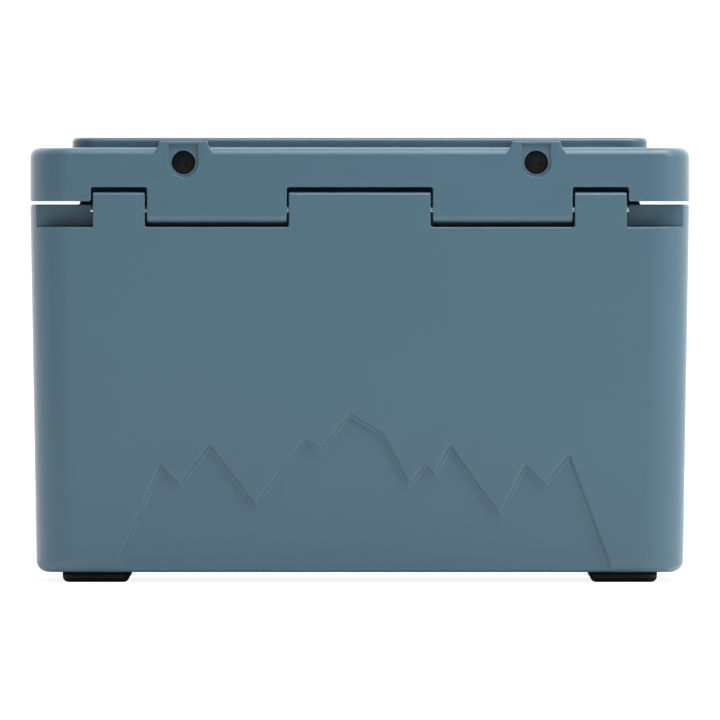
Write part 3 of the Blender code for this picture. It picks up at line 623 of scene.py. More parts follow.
def d_recess(side):
    """Round-bottomed, square-topped recess about a foam hole."""
    steps = 24
    outline = [(D_RADIUS * math.cos(math.pi * i / steps), FILL_Z - D_RADIUS * math.sin(math.pi * i / steps))
               for i in range(steps + 1)]
    outline += [(-D_RADIUS, D_TOP), (D_RADIUS, D_TOP)]
    deep_end = (side * FILL_X, HALF_DEPTH + 5 * MM, 0)
    return plate_from("d_recess", outline, D_DEEP + 5 * MM, standing(deep_end, (0, -1, 0)))


def make_lid():
    lid = rounded_box("lid_moulding", (-HALF_LENGTH, -HALF_DEPTH, LID_UNDERSIDE),
                      (HALF_LENGTH, HALF_DEPTH, LID_SHOULDER), 40 * MM, steps=16, crown=CROWN,
                      edge_steps=8)
    join(lid, rounded_box("panel", (-HALF_LENGTH + PANEL_INSET, -HALF_DEPTH + PANEL_INSET_Y, FILL_Z),
                          (HALF_LENGTH - PANEL_INSET, HALF_DEPTH - PANEL_INSET_Y, LID_HIGH.z),
                          24 * MM, steps=12, crown=4.5 * MM, edge_steps=6))
    back = HALF_DEPTH - KNUCKLE_THICK
    far = 400 * MM
    cut(lid, add_box("trim", (-far, FLUSH, 0), (far, far, far + LID_HIGH.z)))
    rail = add_box("rail", (-250 * MM, back, TAB_BOTTOM), (250 * MM, FLUSH, LID_UNDERSIDE + 8 * MM))
    round_where(rail, 6.5 * MM, 6, lambda e: along(e, 0) and lies_at(e, 2, TAB_BOTTOM))
    join(level(lid, 1, FLUSH), level(rail, 1, FLUSH), *(lid_boss(side) for side in ends()))
    front = HALF_DEPTH - LID_NOTCH_DEEP
    cut(lid, notch_tool((-TAB_START, front, 0), (TAB_START, far, LID_NOTCH_TOP), LID_NOTCH_TOP))
    for side in ends():
        x = span(side * TAB_END, side * LID_NOTCH_END)
        cut(lid, notch_tool((x[0], front, 0), (x[1], far, LID_NOTCH_TOP), LID_NOTCH_TOP))
    reach = GASKET_CHANNEL
    cut(lid, rounded_box("channel", (-HALF_LENGTH + reach, -HALF_DEPTH + reach, 300 * MM),
                         (HALF_LENGTH - reach, HALF_DEPTH - reach, GASKET_CEILING), 34 * MM, steps=12))
    reach = PLUG_INSET
    join(lid, rounded_box("plug", (-HALF_LENGTH + reach, -HALF_DEPTH + reach, PLUG_BOTTOM),
                          (HALF_LENGTH - reach, HALF_DEPTH - reach, GASKET_CEILING + 12 * MM), 24 * MM,
                          steps=10, foot=5 * MM))
    reach_x, reach_y = PANEL_INSET + TRAY_INSET, PANEL_INSET_Y + TRAY_INSET
    cut(lid, rounded_box("tray", (-HALF_LENGTH + reach_x, -HALF_DEPTH + reach_y, LID_HIGH.z - TRAY_DEEP),
                         (HALF_LENGTH - reach_x, HALF_DEPTH - reach_y, far + LID_HIGH.z), 14 * MM, steps=8))
    for side in ends():
        middle = side * LATCH_X
        recess = add_box("recess", (middle - LATCH_POCKET_HALF, -far, 200 * MM),
                         (middle + LATCH_POCKET_HALF, LATCH_POCKET_Y, LATCH_POCKET_TOP))
        round_where(recess, 6 * MM, 5, lambda e: along(e, 1) and lies_at(e, 2, LATCH_POCKET_TOP))
        cut(lid, recess, d_recess(side))
    hollow_out(lid, "lid_foam")
    for side in ends():
        fill = side * FILL_X
        cut(lid, add_bar("fill_hole", (fill, HALF_DEPTH - 8 * MM, FILL_Z), (fill, far, FILL_Z), FILL_RADIUS,
                         sides=64),
            add_bar("fill_way", (fill, HALF_DEPTH - 16 * MM, FILL_Z), (fill, HALF_DEPTH - 7.1 * MM, FILL_Z),
                    FILL_RADIUS + 2 * MM))
        middle = side * LATCH_X
        cut(lid, add_bar("pin_bore", (middle - 38 * MM, LATCH_PIN_Y, LATCH_PIN_Z),
                         (middle + 38 * MM, LATCH_PIN_Y, LATCH_PIN_Z), 3.2 * MM, sides=32))
    rod_end = TAB_END + 5 * MM
    cut(lid, add_bar("rod_bore", (-rod_end, HINGE_Y, HINGE_Z), (rod_end, HINGE_Y, HINGE_Z), 3.7 * MM))
    soften(lid, lid_radius, 3 * MM)
    return lid


# ---------------------------------------------------------------- feet, plugs and screws

FOOT_SCREW_Z = 5.7 * MM
KEEPER_SCREW_X = 10 * MM
KEEPER_SCREW_Z = 360 * MM


def chamfered(obj, radius, steps=3, sharp=28):
    """Rounds every sharp edge of a small piece by the same radius."""
    return soften(obj, lambda middle, edge: radius, radius, steps=steps, sharp=sharp)


def make_foot():
    low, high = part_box("foot_front_left")
    centre = (low + high) / 2
    foot = rounded_box("foot_front_left_rubber", low, high, 10 * MM, steps=10, foot=6 * MM, edge_steps=6)
    for row in (-2.5, -1.5, -0.5, 0.5, 1.5, 2.5):
        middle = centre.x + row * 8 * MM
        cut(foot, add_box("tread", (middle - 1.2 * MM, low.y + 9 * MM, -2 * MM),
                          (middle + 1.2 * MM, high.y - 9 * MM, 0.9 * MM)))
    cut(foot, add_bar("counterbore", (centre.x, centre.y, -5 * MM), (centre.x, centre.y, 6 * MM), 7 * MM),
        add_bar("screw_way", (centre.x, centre.y, 1 * MM), (centre.x, centre.y, 20 * MM), 2.8 * MM, sides=32))

    def radius(middle, edge):
        return 0.7 * MM if math.hypot(middle.x - centre.x, middle.y - centre.y) < 8 * MM and middle.z < 2 * MM else 0
    return soften(foot, radius, 0.7 * MM, steps=3, sharp=50)


def make_screw(name, head, shank, length):
    """Pan-head screw with a cross recess: its head lies below height zero and its thread above."""
    pitch = 1.4 * MM
    turns = int((length - 3 * MM) / pitch)
    profile = [(0.3 * MM, length), (shank - 0.8 * MM, length - 1 * MM)]
    for i in range(turns):
        crest = length - 1.6 * MM - i * pitch
        profile += [(shank, crest), (shank - 0.5 * MM, crest - 0.7 * MM)]
    profile += [(shank, 0), (head, 0), (head, -1.4 * MM), (0.93 * head, -2 * MM), (0.78 * head, -2.45 * MM),
                (0.5 * head, -2.7 * MM)]
    screw = turned(name, profile, sides=32)
    for long_x, long_y in ((0.62 * head, 0.6 * MM), (0.6 * MM, 0.62 * head)):
        cut(screw, add_box("cross", (-long_x, -long_y, -4 * MM), (long_x, long_y, -1.3 * MM)))
    return screw


def make_fill_plug(name):
    """Push-in cap: its face is at height zero, its stem goes down."""
    radius = FILL_RADIUS - 0.3 * MM
    return turned(name, [(radius - 2 * MM, -7 * MM), (radius - 0.6 * MM, -5 * MM), (radius - 0.6 * MM, -3 * MM),
                         (radius, -2.4 * MM), (radius, -0.8 * MM), (radius - 0.25 * MM, -0.25 * MM),
                         (radius - 0.8 * MM, 0), (5 * MM, 0), (4.4 * MM, -0.3 * MM), (4 * MM, -1.2 * MM),
                         (0.5 * MM, -1.5 * MM)], sides=64)


def make_feet():
    foot = make_foot()
    centre = sum(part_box("foot_front_left"), Vector()) / 2
    screw = make_screw("foot_screw", 5.5 * MM, 2.3 * MM, 16 * MM)
    for end, y in (("front", -1), ("rear", 1)):
        for name, x in (("left", -1), ("right", 1)):
            node = f"foot_{end}_{name}"
            middle = sum(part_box(node), Vector()) / 2
            one = foot if node == "foot_front_left" else copy_of(foot, f"{node}_rubber",
                                                                 Matrix.Translation(middle - centre))
            fit(one, "rubber", "tub", node)
            place = standing((middle.x, middle.y, FOOT_SCREW_Z), (0, 0, 1))
            fit(copy_of(screw, f"foot_screw_{end}_{name}_fine", place), "steel", "tub", f"foot_screw_{end}_{name}")
    bpy.data.objects.remove(screw)


def make_fill_plugs():
    plug = make_fill_plug("fill_plug")
    for name, side in (("left", -1), ("right", 1)):
        lid_place = standing((side * FILL_X, HALF_DEPTH - 6 * MM, FILL_Z), (0, 1, 0))
        fit(copy_of(plug, f"lid_fill_cap_{name}", lid_place), "black_plastic", "lid", f"lid_fill_plug_{name}")
        tub_place = standing((side * 90 * MM, 0, TUB_BOTTOM - 1 * MM), (0, 0, -1))
        fit(copy_of(plug, f"body_fill_cap_{name}", tub_place), "black_plastic", "tub", f"body_fill_plug_{name}")
    bpy.data.objects.remove(plug)


# ---------------------------------------------------------------- hinge rod and gasket

def make_rod():
    low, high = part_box("hinge_rod")
    rod = add_bar("hinge_rod_fine", (low.x, HINGE_Y, HINGE_Z), (high.x, HINGE_Y, HINGE_Z), 3.5 * MM)
    fit(chamfered(rod, 0.7 * MM, steps=4), "steel", "tub", "hinge_rod")


def make_gasket():
    """Rubber ring under the lid, with two ribs that press on the seat."""
    low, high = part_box("lid_gasket")
    ring = rounded_box("lid_gasket_fine", low, high, 35 * MM, steps=16)
    width = Vector((11 * MM, 11 * MM, 0))
    past = Vector((0, 0, 5 * MM))
    cut(ring, rounded_box("inner", low + width - past, high - width + past, 24 * MM, steps=16))
    for inset in (3 * MM, 6.5 * MM):
        start = Vector((inset, inset, 0))
        end = Vector((inset + 1.6 * MM, inset + 1.6 * MM, 0))
        foot = Vector((0, 0, 2.6 * MM))
        groove = rounded_box("groove", low + start - past, Vector((high.x, high.y, low.z)) - start + foot - foot
                             + Vector((0, 0, 0.8 * MM)), 32 * MM - inset, steps=16)
        cut(groove, rounded_box("inner", low + end - past - past, Vector((high.x, high.y, low.z)) - end + foot,
                                31 * MM - inset, steps=16))
        cut(ring, groove)
    fit(chamfered(ring, 0.4 * MM, sharp=40), "rubber", "lid", "lid_gasket")


# ---------------------------------------------------------------- latches

LATCH_EYE = 7.2 * MM
LATCH_HALF_THICK = 4.2 * MM
LATCH_HOOK = 9.5 * MM
LATCH_HALF = 19 * MM
LATCH_TAB_HALF = 26 * MM


def latch_outline():
    """Side view of the rubber latch, Y and Z from its pin: eye, strap, and hook on its back."""
    steps = 40
    outline = []
    for i in range(steps + 1):
        angle = math.radians(-54 + 288 * i / steps)
        outline.append((LATCH_EYE * math.cos(angle), LATCH_EYE * math.sin(angle)))
    thick = LATCH_HALF_THICK
    return outline + [(-thick, -9 * MM), (-thick, -112 * MM), (thick, -112 * MM), (thick, -84 * MM),
                      (LATCH_HOOK, -79 * MM), (LATCH_HOOK, -71 * MM), (LATCH_HOOK - 2 * MM, -69 * MM),
                      (thick, -69 * MM), (thick, -9 * MM)]


def make_latch():
    """Rubber T-latch on its pin, made about the pin's middle."""
    across = Matrix.Translation((-LATCH_HALF, 0, 0)) @ Matrix(((0, 0, 1, 0), (1, 0, 0, 0), (0, 1, 0, 0), (0, 0, 0, 1)))
    strap = plate_from("latch_rubber", latch_outline(), 2 * LATCH_HALF, across)
    with editing(strap, "FACE"):
        select_where(strap, "faces", lambda f: f.normal.y < -0.99 and f.calc_area() > (25 * MM) ** 2)
        bpy.ops.mesh.inset(thickness=4.5 * MM, depth=0)
        bpy.ops.mesh.inset(thickness=0.8 * MM, depth=-1.1 * MM)
    tab = rounded_box("tab", (-LATCH_TAB_HALF, -17 * MM / 2, -6 * MM), (LATCH_TAB_HALF, 17 * MM / 2, 5 * MM), 6 * MM)
    put(tab, Matrix.Translation((0, 0, -104.5 * MM)) @ Matrix.Rotation(math.pi / 2, 4, "X"))
    join(strap, tab)
    for row in (-2, -1, 0, 1, 2):
        height = -104.5 * MM + row * 2.8 * MM
        reach = LATCH_TAB_HALF - 7 * MM
        rib = add_bar("rib", (-reach, -5.9 * MM, height), (reach, -5.9 * MM, height), 0.9 * MM, sides=16)
        join(strap, rib)
    cut(strap, add_bar("eye", (-30 * MM, 0, 0), (30 * MM, 0, 0), 3.3 * MM))

    def radius(middle, edge):
        if math.hypot(middle.y, middle.z) < 4 * MM:
            return 0.5 * MM
        if middle.z < -96 * MM and middle.y < -5.5 * MM and abs(middle.x) < LATCH_TAB_HALF - 2 * MM:
            return 0.25 * MM if middle.z > -111 * MM and abs(middle.z + 104.5 * MM) < 7 * MM else 1.0 * MM
        return 0.5 * MM if middle.y < -LATCH_HALF_THICK + 1.3 * MM and abs(middle.x) < LATCH_HALF - 4 * MM else 1.0 * MM
    return soften(strap, radius, 1.0 * MM, steps=3, sharp=35)


def make_keeper():
    """Steel catch plate with a lip and two screw holes, made about the middle of its back."""
    plate = rounded_box("keeper_steel", (-17 * MM, -12 * MM, 0), (17 * MM, 12 * MM, 3 * MM), 4 * MM)
    lip = rounded_box("lip", (-17 * MM, -5.5 * MM, 1 * MM), (17 * MM, 0, 9 * MM), 0, crown=2.2 * MM)
    join(plate, lip)
    put(plate, Matrix.Translation((0, 0, 354 * MM)) @ Matrix.Rotation(math.pi / 2, 4, "X"))
    for x in (-KEEPER_SCREW_X, KEEPER_SCREW_X):
        cut(plate, add_bar("screw_way", (x, -9 * MM, KEEPER_SCREW_Z), (x, 5 * MM, KEEPER_SCREW_Z), 2.4 * MM, sides=32))
    return chamfered(plate, 0.45 * MM, sharp=45)


def make_latches():
    latch = make_latch()
    keeper = make_keeper()
    screw = make_screw("keeper_screw", 4 * MM, 2 * MM, 13 * MM)
    pin_low, pin_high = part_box("latch_pin_right")
    half = (pin_high.x - pin_low.x) / 2
    pin = chamfered(add_bar("latch_pin", (-half, 0, 0), (half, 0, 0), 3 * MM), 0.5 * MM)
    wall = LATCH_POCKET_Y - 0.3 * MM
    for name, side in (("left", -1), ("right", 1)):
        middle = side * LATCH_X
        on_pin = Matrix.Translation((middle, LATCH_PIN_Y, LATCH_PIN_Z))
        fit(copy_of(latch, f"latch_{name}_rubber", on_pin), "rubber", f"latch_{name}", f"latch_strap_{name}")
        fit(copy_of(pin, f"latch_pin_{name}_steel", on_pin), "steel", "lid", f"latch_pin_{name}")
        on_wall = Matrix.Translation((middle, wall, 0))
        fit(copy_of(keeper, f"latch_keeper_{name}_steel", on_wall), "steel", "tub", f"latch_keeper_{name}")
        for place, x in (("inner", -side), ("outer", side)):
            at = standing((middle + x * KEEPER_SCREW_X, wall - 3.3 * MM, KEEPER_SCREW_Z), (0, 1, 0))
            fit(copy_of(screw, f"keeper_screw_{place}_{name}_fine", at), "steel", "tub", f"keeper_screw_{place}_{name}")
    for tool in (latch, keeper, screw, pin):
        bpy.data.objects.remove(tool)


# ---------------------------------------------------------------- carry handles

BAIL_DROP = 58 * MM
BAIL_ARM = 80 * MM
BAIL_END = 106 * MM
BAIL_BEND = 12 * MM
BAIL_RADIUS = 5 * MM
GRIP_RADIUS = 12.5 * MM
GRIP_HALF = 52 * MM


def bail_route():
    """Centre line of the bar: in from one pivot, down, across under the grip, up and out again."""
    steps = 12
    half = [(BAIL_END, 0)]
    for i in range(steps + 1):
        angle = math.pi / 2 * i / steps
        half.append((BAIL_ARM + BAIL_BEND - BAIL_BEND * math.sin(angle), -BAIL_BEND + BAIL_BEND * math.cos(angle)))
    for i in range(steps + 1):
        angle = math.pi / 2 * i / steps
        half.append((BAIL_ARM - BAIL_BEND + BAIL_BEND * math.cos(angle),
                     -BAIL_DROP + BAIL_BEND - BAIL_BEND * math.sin(angle)))
    return half + [(-y, z) for y, z in reversed(half)]


def make_bail():
    curve = bpy.data.curves.new("bail", "CURVE")
    curve.dimensions = "3D"
    curve.bevel_depth = BAIL_RADIUS
    curve.bevel_resolution = 10
    curve.use_fill_caps = True
    route = bail_route()
    spline = curve.splines.new("POLY")
    spline.points.add(len(route) - 1)
    for point, (y, z) in zip(spline.points, route):
        point.co = (0, y, z, 1)
    bail = bpy.data.objects.new("bail", curve)
    bpy.context.scene.collection.objects.link(bail)
    pick(bail)
    bpy.ops.object.convert(target="MESH")
    with editing(bail, "VERT"):
        bpy.ops.mesh.select_all(action="SELECT")
        bpy.ops.mesh.remove_doubles(threshold=0.005 * MM)
        bpy.ops.mesh.normals_make_consistent(inside=False)
    return chamfered(bail, 0.6 * MM, sharp=60)


def make_grip():
    """Ribbed rubber sleeve on the bar, along its own axis."""
    bore = BAIL_RADIUS + 0.15 * MM
    profile = [(bore, -GRIP_HALF), (GRIP_RADIUS - 3 * MM, -GRIP_HALF), (GRIP_RADIUS - 1 * MM, -GRIP_HALF + 0.9 * MM),
               (GRIP_RADIUS, -GRIP_HALF + 3 * MM), (GRIP_RADIUS, -GRIP_HALF + 8 * MM)]
    ribs = 15
    pitch = 2 * (GRIP_HALF - 8 * MM) / ribs
    for i in range(ribs):
        start = -GRIP_HALF + 8 * MM + i * pitch
        for part, fall in ((0.12, 0.9), (0.25, 1.2), (0.55, 1.2), (0.68, 0.9), (0.78, 0.1), (0.92, 0.0)):
            profile.append((GRIP_RADIUS - fall * MM, start + part * pitch))
    profile += [(GRIP_RADIUS, GRIP_HALF - 3 * MM), (GRIP_RADIUS - 1 * MM, GRIP_HALF - 0.9 * MM),
                (GRIP_RADIUS - 3 * MM, GRIP_HALF), (bore, GRIP_HALF), (bore, -GRIP_HALF)]
    return turned("grip", profile, sides=48, closed=True)


def make_bush():
    """Flanged plastic bush, its flange from height zero."""
    bore = BAIL_RADIUS + 0.15 * MM
    long = 14 * MM
    return turned("bush", [(bore, 0), (10.1 * MM, 0), (10.5 * MM, 0.4 * MM), (10.5 * MM, 1.3 * MM), (10.2 * MM, 1.7 * MM),
                           (8 * MM, 1.7 * MM), (8 * MM, long - 0.5 * MM), (7.5 * MM, long), (bore, long), (bore, 0)],
                  sides=48, closed=True)


def make_handles():
    bail, grip, bush = make_bail(), make_grip(), make_bush()
    for name, side in (("left", -1), ("right", 1)):
        body = f"handle_{name}"
        pivot = Matrix.Translation((side * BAIL_X, 0, BAIL_Z))
        fit(copy_of(bail, f"{body}_bar", pivot), "aluminium", body, f"handle_bail_{name}")
        along_bar = standing((side * BAIL_X, 0, BAIL_Z - BAIL_DROP), (0, 1, 0))
        fit(copy_of(grip, f"{body}_grip_rubber", along_bar), "rubber", body, f"handle_grip_{name}")
        for end, y in (("front", -1), ("rear", 1)):
            place = standing((side * BAIL_X, y * (POCKET_HALF - 2 * MM), BAIL_Z), (0, y, 0))
            fit(copy_of(bush, f"{body}_bush_{end}_fine", place), "black_plastic", "tub",
                f"handle_bush_{end}_{name}")
    for tool in (bail, grip, bush):
        bpy.data.objects.remove(tool)


# ---------------------------------------------------------------- drain

DRAIN_FLANGE_X = 305.3 * MM
DRAIN_FACE_X = 308.3 * MM
SUMP_WALL_X = 268.5 * MM


def make_drain():
    """Socket, its gasket and nut, the plug and its seal, turned about the drain's axis."""
    def on_axis(piece, material, body, node):
        put(piece, standing((0, 0, DRAIN_Z), (1, 0, 0)))
        fit(piece, material, body, node)

    flange, face = DRAIN_FLANGE_X, DRAIN_FACE_X
    inner = SUMP_WALL_X - 8 * MM
    on_axis(turned("drain_socket_fine",
                   [(9 * MM, inner), (11.4 * MM, inner), (12 * MM, inner + 0.6 * MM), (12 * MM, flange),
                    (23.6 * MM, flange), (24 * MM, flange + 0.4 * MM), (24 * MM, face - 1 * MM),
                    (23.7 * MM, face - 0.3 * MM), (23 * MM, face), (16.6 * MM, face), (16.2 * MM, face - 0.3 * MM),
                    (15.6 * MM, face - 0.3 * MM), (15.2 * MM, face), (10.9 * MM, face), (10.5 * MM, face - 0.4 * MM),
                    (10.5 * MM, 293 * MM), (9 * MM, 293 * MM), (9 * MM, inner)], sides=96, closed=True),
            "black_plastic", "tub", "drain_socket")
    on_axis(turned("drain_socket_gasket_fine",
                   [(12.3 * MM, 303.3 * MM), (21.6 * MM, 303.3 * MM), (22 * MM, 303.7 * MM), (22 * MM, 304.6 * MM),
                    (21.6 * MM, 305 * MM), (12.3 * MM, 305 * MM), (12.3 * MM, 303.3 * MM)], sides=96, closed=True),
            "rubber", "tub", "drain_socket_gasket")
    nut = add_bar("drain_nut_fine", (0, 0, SUMP_WALL_X - 7 * MM), (0, 0, SUMP_WALL_X - 0.3 * MM), 18 * MM, sides=6)
    cut(nut, add_bar("bore", (0, 0, SUMP_WALL_X - 12 * MM), (0, 0, SUMP_WALL_X + 5 * MM), 12.3 * MM, sides=64))
    on_axis(chamfered(nut, 0.7 * MM), "black_plastic", "tub", "drain_nut")
    on_axis(turned("drain_seal_fine",
                   [(10.7 * MM, face + 0.3 * MM), (14.6 * MM, face + 0.3 * MM), (15 * MM, face + 0.7 * MM),
                    (15 * MM, face + 1.9 * MM), (14.6 * MM, face + 2.3 * MM), (10.7 * MM, face + 2.3 * MM),
                    (10.7 * MM, face + 0.3 * MM)], sides=72, closed=True),
            "rubber", "drain_slider", "drain_plug_seal")
    on_axis(make_drain_plug(face + 2.6 * MM), "black_plastic", "drain_knob", "drain_plug")


def make_drain_plug(head):
    """Screw-in plug with a fluted knob and a dished face."""
    profile = [(1 * MM, 294 * MM), (8.6 * MM, 294 * MM)]
    for i in range(6):
        start = 295.4 * MM + i * 2.2 * MM
        profile += [(9.3 * MM, start), (10 * MM, start + 0.5 * MM), (10 * MM, start + 0.9 * MM),
                    (9.3 * MM, start + 1.4 * MM)]
    profile += [(10 * MM, head), (18.4 * MM, head), (19 * MM, head + 0.6 * MM), (19 * MM, head + 7.6 * MM),
                (18.6 * MM, head + 9 * MM), (17.4 * MM, head + 9.8 * MM), (16 * MM, head + 10 * MM),
                (13 * MM, head + 10 * MM), (12.2 * MM, head + 9.6 * MM), (11 * MM, head + 7.6 * MM),
                (1 * MM, head + 7.2 * MM)]
    plug = turned("drain_plug_fine", profile, sides=120)
    flutes = 12

    def in_flute(v):
        turn = math.atan2(v.co.y, v.co.x) * flutes / (2 * math.pi) % 1
        return v.co.z > head + 0.1 * MM and math.hypot(v.co.x, v.co.y) > 17 * MM and abs(turn - 0.5) < 0.24
    with editing(plug, "VERT"):
        select_where(plug, "verts", in_flute)
        bpy.ops.transform.resize(value=(0.93, 0.93, 1), center_override=(0, 0, head))
    grip = rounded_box("grip_bar", (-11 * MM, -2.4 * MM, head + 6 * MM), (11 * MM, 2.4 * MM, head + 9.4 * MM), 2 * MM,
                       crown=0.8 * MM)
    return join(plug, grip)


# ---------------------------------------------------------------- finishes

def group_node(tree, group, **values):
    node = tree.nodes.new("ShaderNodeGroup")
    node.node_tree = group
    for name, value in values.items():
        node.inputs[name].default_value = value
    return node


def new_group(name, inputs, outputs):
    """Empty shader group with float inputs, a vector input and float outputs."""
    tree = bpy.data.node_groups.new(name, "ShaderNodeTree")
    tree.interface.new_socket("Vector", in_out="INPUT", socket_type="NodeSocketVector")
    for label, default in inputs:
        socket = tree.interface.new_socket(label, in_out="INPUT", socket_type="NodeSocketFloat")
        socket.default_value = default
    for label in outputs:
        tree.interface.new_socket(label, in_out="OUTPUT", socket_type="NodeSocketFloat")
    return tree, tree.nodes.new("NodeGroupInput"), tree.nodes.new("NodeGroupOutput")


def noise_in(tree, vector, scale, detail, roughness=0.5):
    noise = tree.nodes.new("ShaderNodeTexNoise")
    noise.inputs["Detail"].default_value = detail
    noise.inputs["Roughness"].default_value = roughness
    tree.links.new(vector, noise.inputs["Vector"])
    tree.links.new(scale, noise.inputs["Scale"])
    return noise.outputs["Fac"]


def math_in(tree, operation, first, second):
    node = tree.nodes.new("ShaderNodeMath")
    node.operation = operation
    for socket, value in zip(node.inputs, (first, second)):
        if isinstance(value, (int, float)):
            socket.default_value = value
        else:
            tree.links.new(value, socket)
    return node.outputs["Value"]


def remap_in(tree, value, low, high, to_low, to_high):
    node = tree.nodes.new("ShaderNodeMapRange")
    tree.links.new(value, node.inputs["Value"])
    for name, number in zip(("From Min", "From Max", "To Min", "To Max"), (low, high, to_low, to_high)):
        if isinstance(number, (int, float)):
            node.inputs[name].default_value = number
        else:
            tree.links.new(number, node.inputs[name])
    return node.outputs["Result"]


def mottle_group():
    """Slow drift of tone over a moulding, about one: two sizes of cloud."""
    tree, given, result = new_group("mottle", [("Scale", 6.0), ("Amount", 0.04)], ["Tone"])
    vector, scale, amount = given.outputs[:3]
    broad = noise_in(tree, vector, scale, 2)
    fine = noise_in(tree, vector, math_in(tree, "MULTIPLY", scale, 7), 3)
    both = math_in(tree, "ADD", math_in(tree, "MULTIPLY", broad, 0.65), math_in(tree, "MULTIPLY", fine, 0.35))
    swing = math_in(tree, "MULTIPLY", math_in(tree, "SUBTRACT", both, 0.5), math_in(tree, "MULTIPLY", amount, 2))
    tree.links.new(math_in(tree, "ADD", swing, 1), result.inputs["Tone"])
    return tree


def grain_group():
    """Height of a fine moulded or cast grain over a slow ripple."""
    tree, given, result = new_group("grain", [("Scale", 1500.0), ("Ripple", 0.3)], ["Height"])
    vector, scale, ripple = given.outputs[:3]
    fine = noise_in(tree, vector, scale, 3, 0.6)
    slow = noise_in(tree, vector, math_in(tree, "MULTIPLY", scale, 0.02), 2)
    height = math_in(tree, "ADD", fine, math_in(tree, "MULTIPLY", slow, ripple))
    tree.links.new(height, result.inputs["Height"])
    return tree


def wear_group():
    """Mask of rubbed edges: the mask of rounded edges, broken up by noise."""
    tree, given, result = new_group("edge_rub", [("Edge", 0.0), ("Scale", 60.0), ("Amount", 0.5)], ["Mask"])
    vector, edge, scale, amount = given.outputs[:4]
    patches = remap_in(tree, noise_in(tree, vector, scale, 4), 0.45, 0.65, 0, 1)
    tree.links.new(math_in(tree, "MULTIPLY", math_in(tree, "MULTIPLY", patches, edge), amount),
                   result.inputs["Mask"])
    return tree


MOTTLE, GRAIN, WEAR = mottle_group(), grain_group(), wear_group()


def finish_of(name, colour, rubbed, roughness, metallic=0.0, sheen_level=0.5, tone=0.05, tone_scale=6.0, grain=1500.0,
              ripple=0.3, bump=0.05, relief=0.05, wear=0.4, matt=0.12):
    """Material whose tone drifts, whose edges are rubbed, and whose surface has a fine grain."""
    material = bpy.data.materials.new(name)
    material.use_nodes = True
    tree = material.node_tree
    shader = tree.nodes["Principled BSDF"]
    shader.inputs["Metallic"].default_value = metallic
    shader.inputs["Specular IOR Level"].default_value = sheen_level
    place = tree.nodes.new("ShaderNodeTexCoord").outputs["Object"]
    edge = tree.nodes.new("ShaderNodeAttribute")
    edge.attribute_name = "worn_edge"
    mottle = group_node(tree, MOTTLE, Scale=tone_scale, Amount=tone)
    grained = group_node(tree, GRAIN, Scale=grain, Ripple=ripple)
    rub = group_node(tree, WEAR, Scale=60.0, Amount=wear)
    for node in (mottle, grained, rub):
        tree.links.new(place, node.inputs["Vector"])
    tree.links.new(edge.outputs["Fac"], rub.inputs["Edge"])
    toned = tree.nodes.new("ShaderNodeVectorMath")
    toned.operation = "SCALE"
    toned.inputs[0].default_value = colour
    tree.links.new(mottle.outputs["Tone"], toned.inputs["Scale"])
    mixed = tree.nodes.new("ShaderNodeMix")
    mixed.data_type = "RGBA"
    tree.links.new(rub.outputs["Mask"], mixed.inputs["Factor"])
    tree.links.new(toned.outputs["Vector"], mixed.inputs["A"])
    mixed.inputs["B"].default_value = (*rubbed, 1)
    tree.links.new(mixed.outputs["Result"], shader.inputs["Base Color"])
    rough = remap_in(tree, mottle.outputs["Tone"], 1 - tone, 1 + tone, roughness - matt / 2, roughness + matt / 2)
    tree.links.new(rough, shader.inputs["Roughness"])
    raised = tree.nodes.new("ShaderNodeBump")
    raised.inputs["Strength"].default_value = bump
    raised.inputs["Distance"].default_value = relief * MM
    tree.links.new(grained.outputs["Height"], raised.inputs["Height"])
    tree.links.new(raised.outputs["Normal"], shader.inputs["Normal"])
    return material


FINISHES = {
    "shell_plastic": finish_of("shell_plastic", (0.059, 0.124, 0.168), (0.090, 0.165, 0.215), 0.34, tone=0.04,
                               tone_scale=5.0, grain=1800.0, bump=0.25, relief=0.03, wear=0.25),
    "rubber": finish_of("rubber", (0.008, 0.008, 0.0076), (0.026, 0.025, 0.023), 0.68, sheen_level=0.35, tone=0.15, tone_scale=25.0,
                        grain=2500.0, bump=0.5, relief=0.05, wear=0.6, matt=0.16),
    "black_plastic": finish_of("black_plastic", (0.004, 0.004, 0.0042), (0.016, 0.016, 0.017), 0.50, sheen_level=0.1, tone=0.12,
                               tone_scale=20.0, grain=1800.0, bump=0.3, relief=0.04, wear=0.4),
    "steel": finish_of("steel", (0.56, 0.56, 0.55), (0.66, 0.66, 0.65), 0.30, metallic=1.0, tone=0.06,
                       tone_scale=40.0, grain=3000.0, bump=0.2, relief=0.02, wear=0.5, matt=0.14),
    "aluminium": finish_of("aluminium", (0.58, 0.59, 0.60), (0.70, 0.71, 0.72), 0.36, metallic=1.0, tone=0.05,
                           tone_scale=30.0, grain=2600.0, bump=0.25, relief=0.02, wear=0.5, matt=0.12),
    "foam": finish_of("foam", (0.70, 0.60, 0.36), (0.60, 0.48, 0.26), 0.95, tone=0.15, tone_scale=40.0,
                      grain=900.0, ripple=0.8, bump=0.8, relief=0.4, wear=0.5, matt=0.05),
}


def mark_edges_worn(obj):
    """Stores on each point whether it is on a rounded outer edge, for the edge wear to read."""
    mesh = obj.data
    widest = np.zeros(len(mesh.vertices))
    for face in mesh.polygons:
        for v in face.vertices:
            widest[v] = max(widest[v], face.area)
    worn = mesh.attributes.new("worn_edge", "FLOAT", "POINT")
    worn.data.foreach_set("value", (widest < (5 * MM) ** 2).astype(np.float32))


def dress(obj, material):
    """One finish all over a piece."""
    obj.data.materials.clear()
    obj.data.materials.append(FINISHES[material])
    for face in obj.data.polygons:
        face.material_index = 0


def fit(piece, material, body, *nodes):
    """Finishes a piece, has it ride on its body, and lets it stand for its nodes."""
    smooth(piece)
    mark_edges_worn(piece)
    dress(piece, material)
    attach(piece, body)
    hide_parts(*nodes)


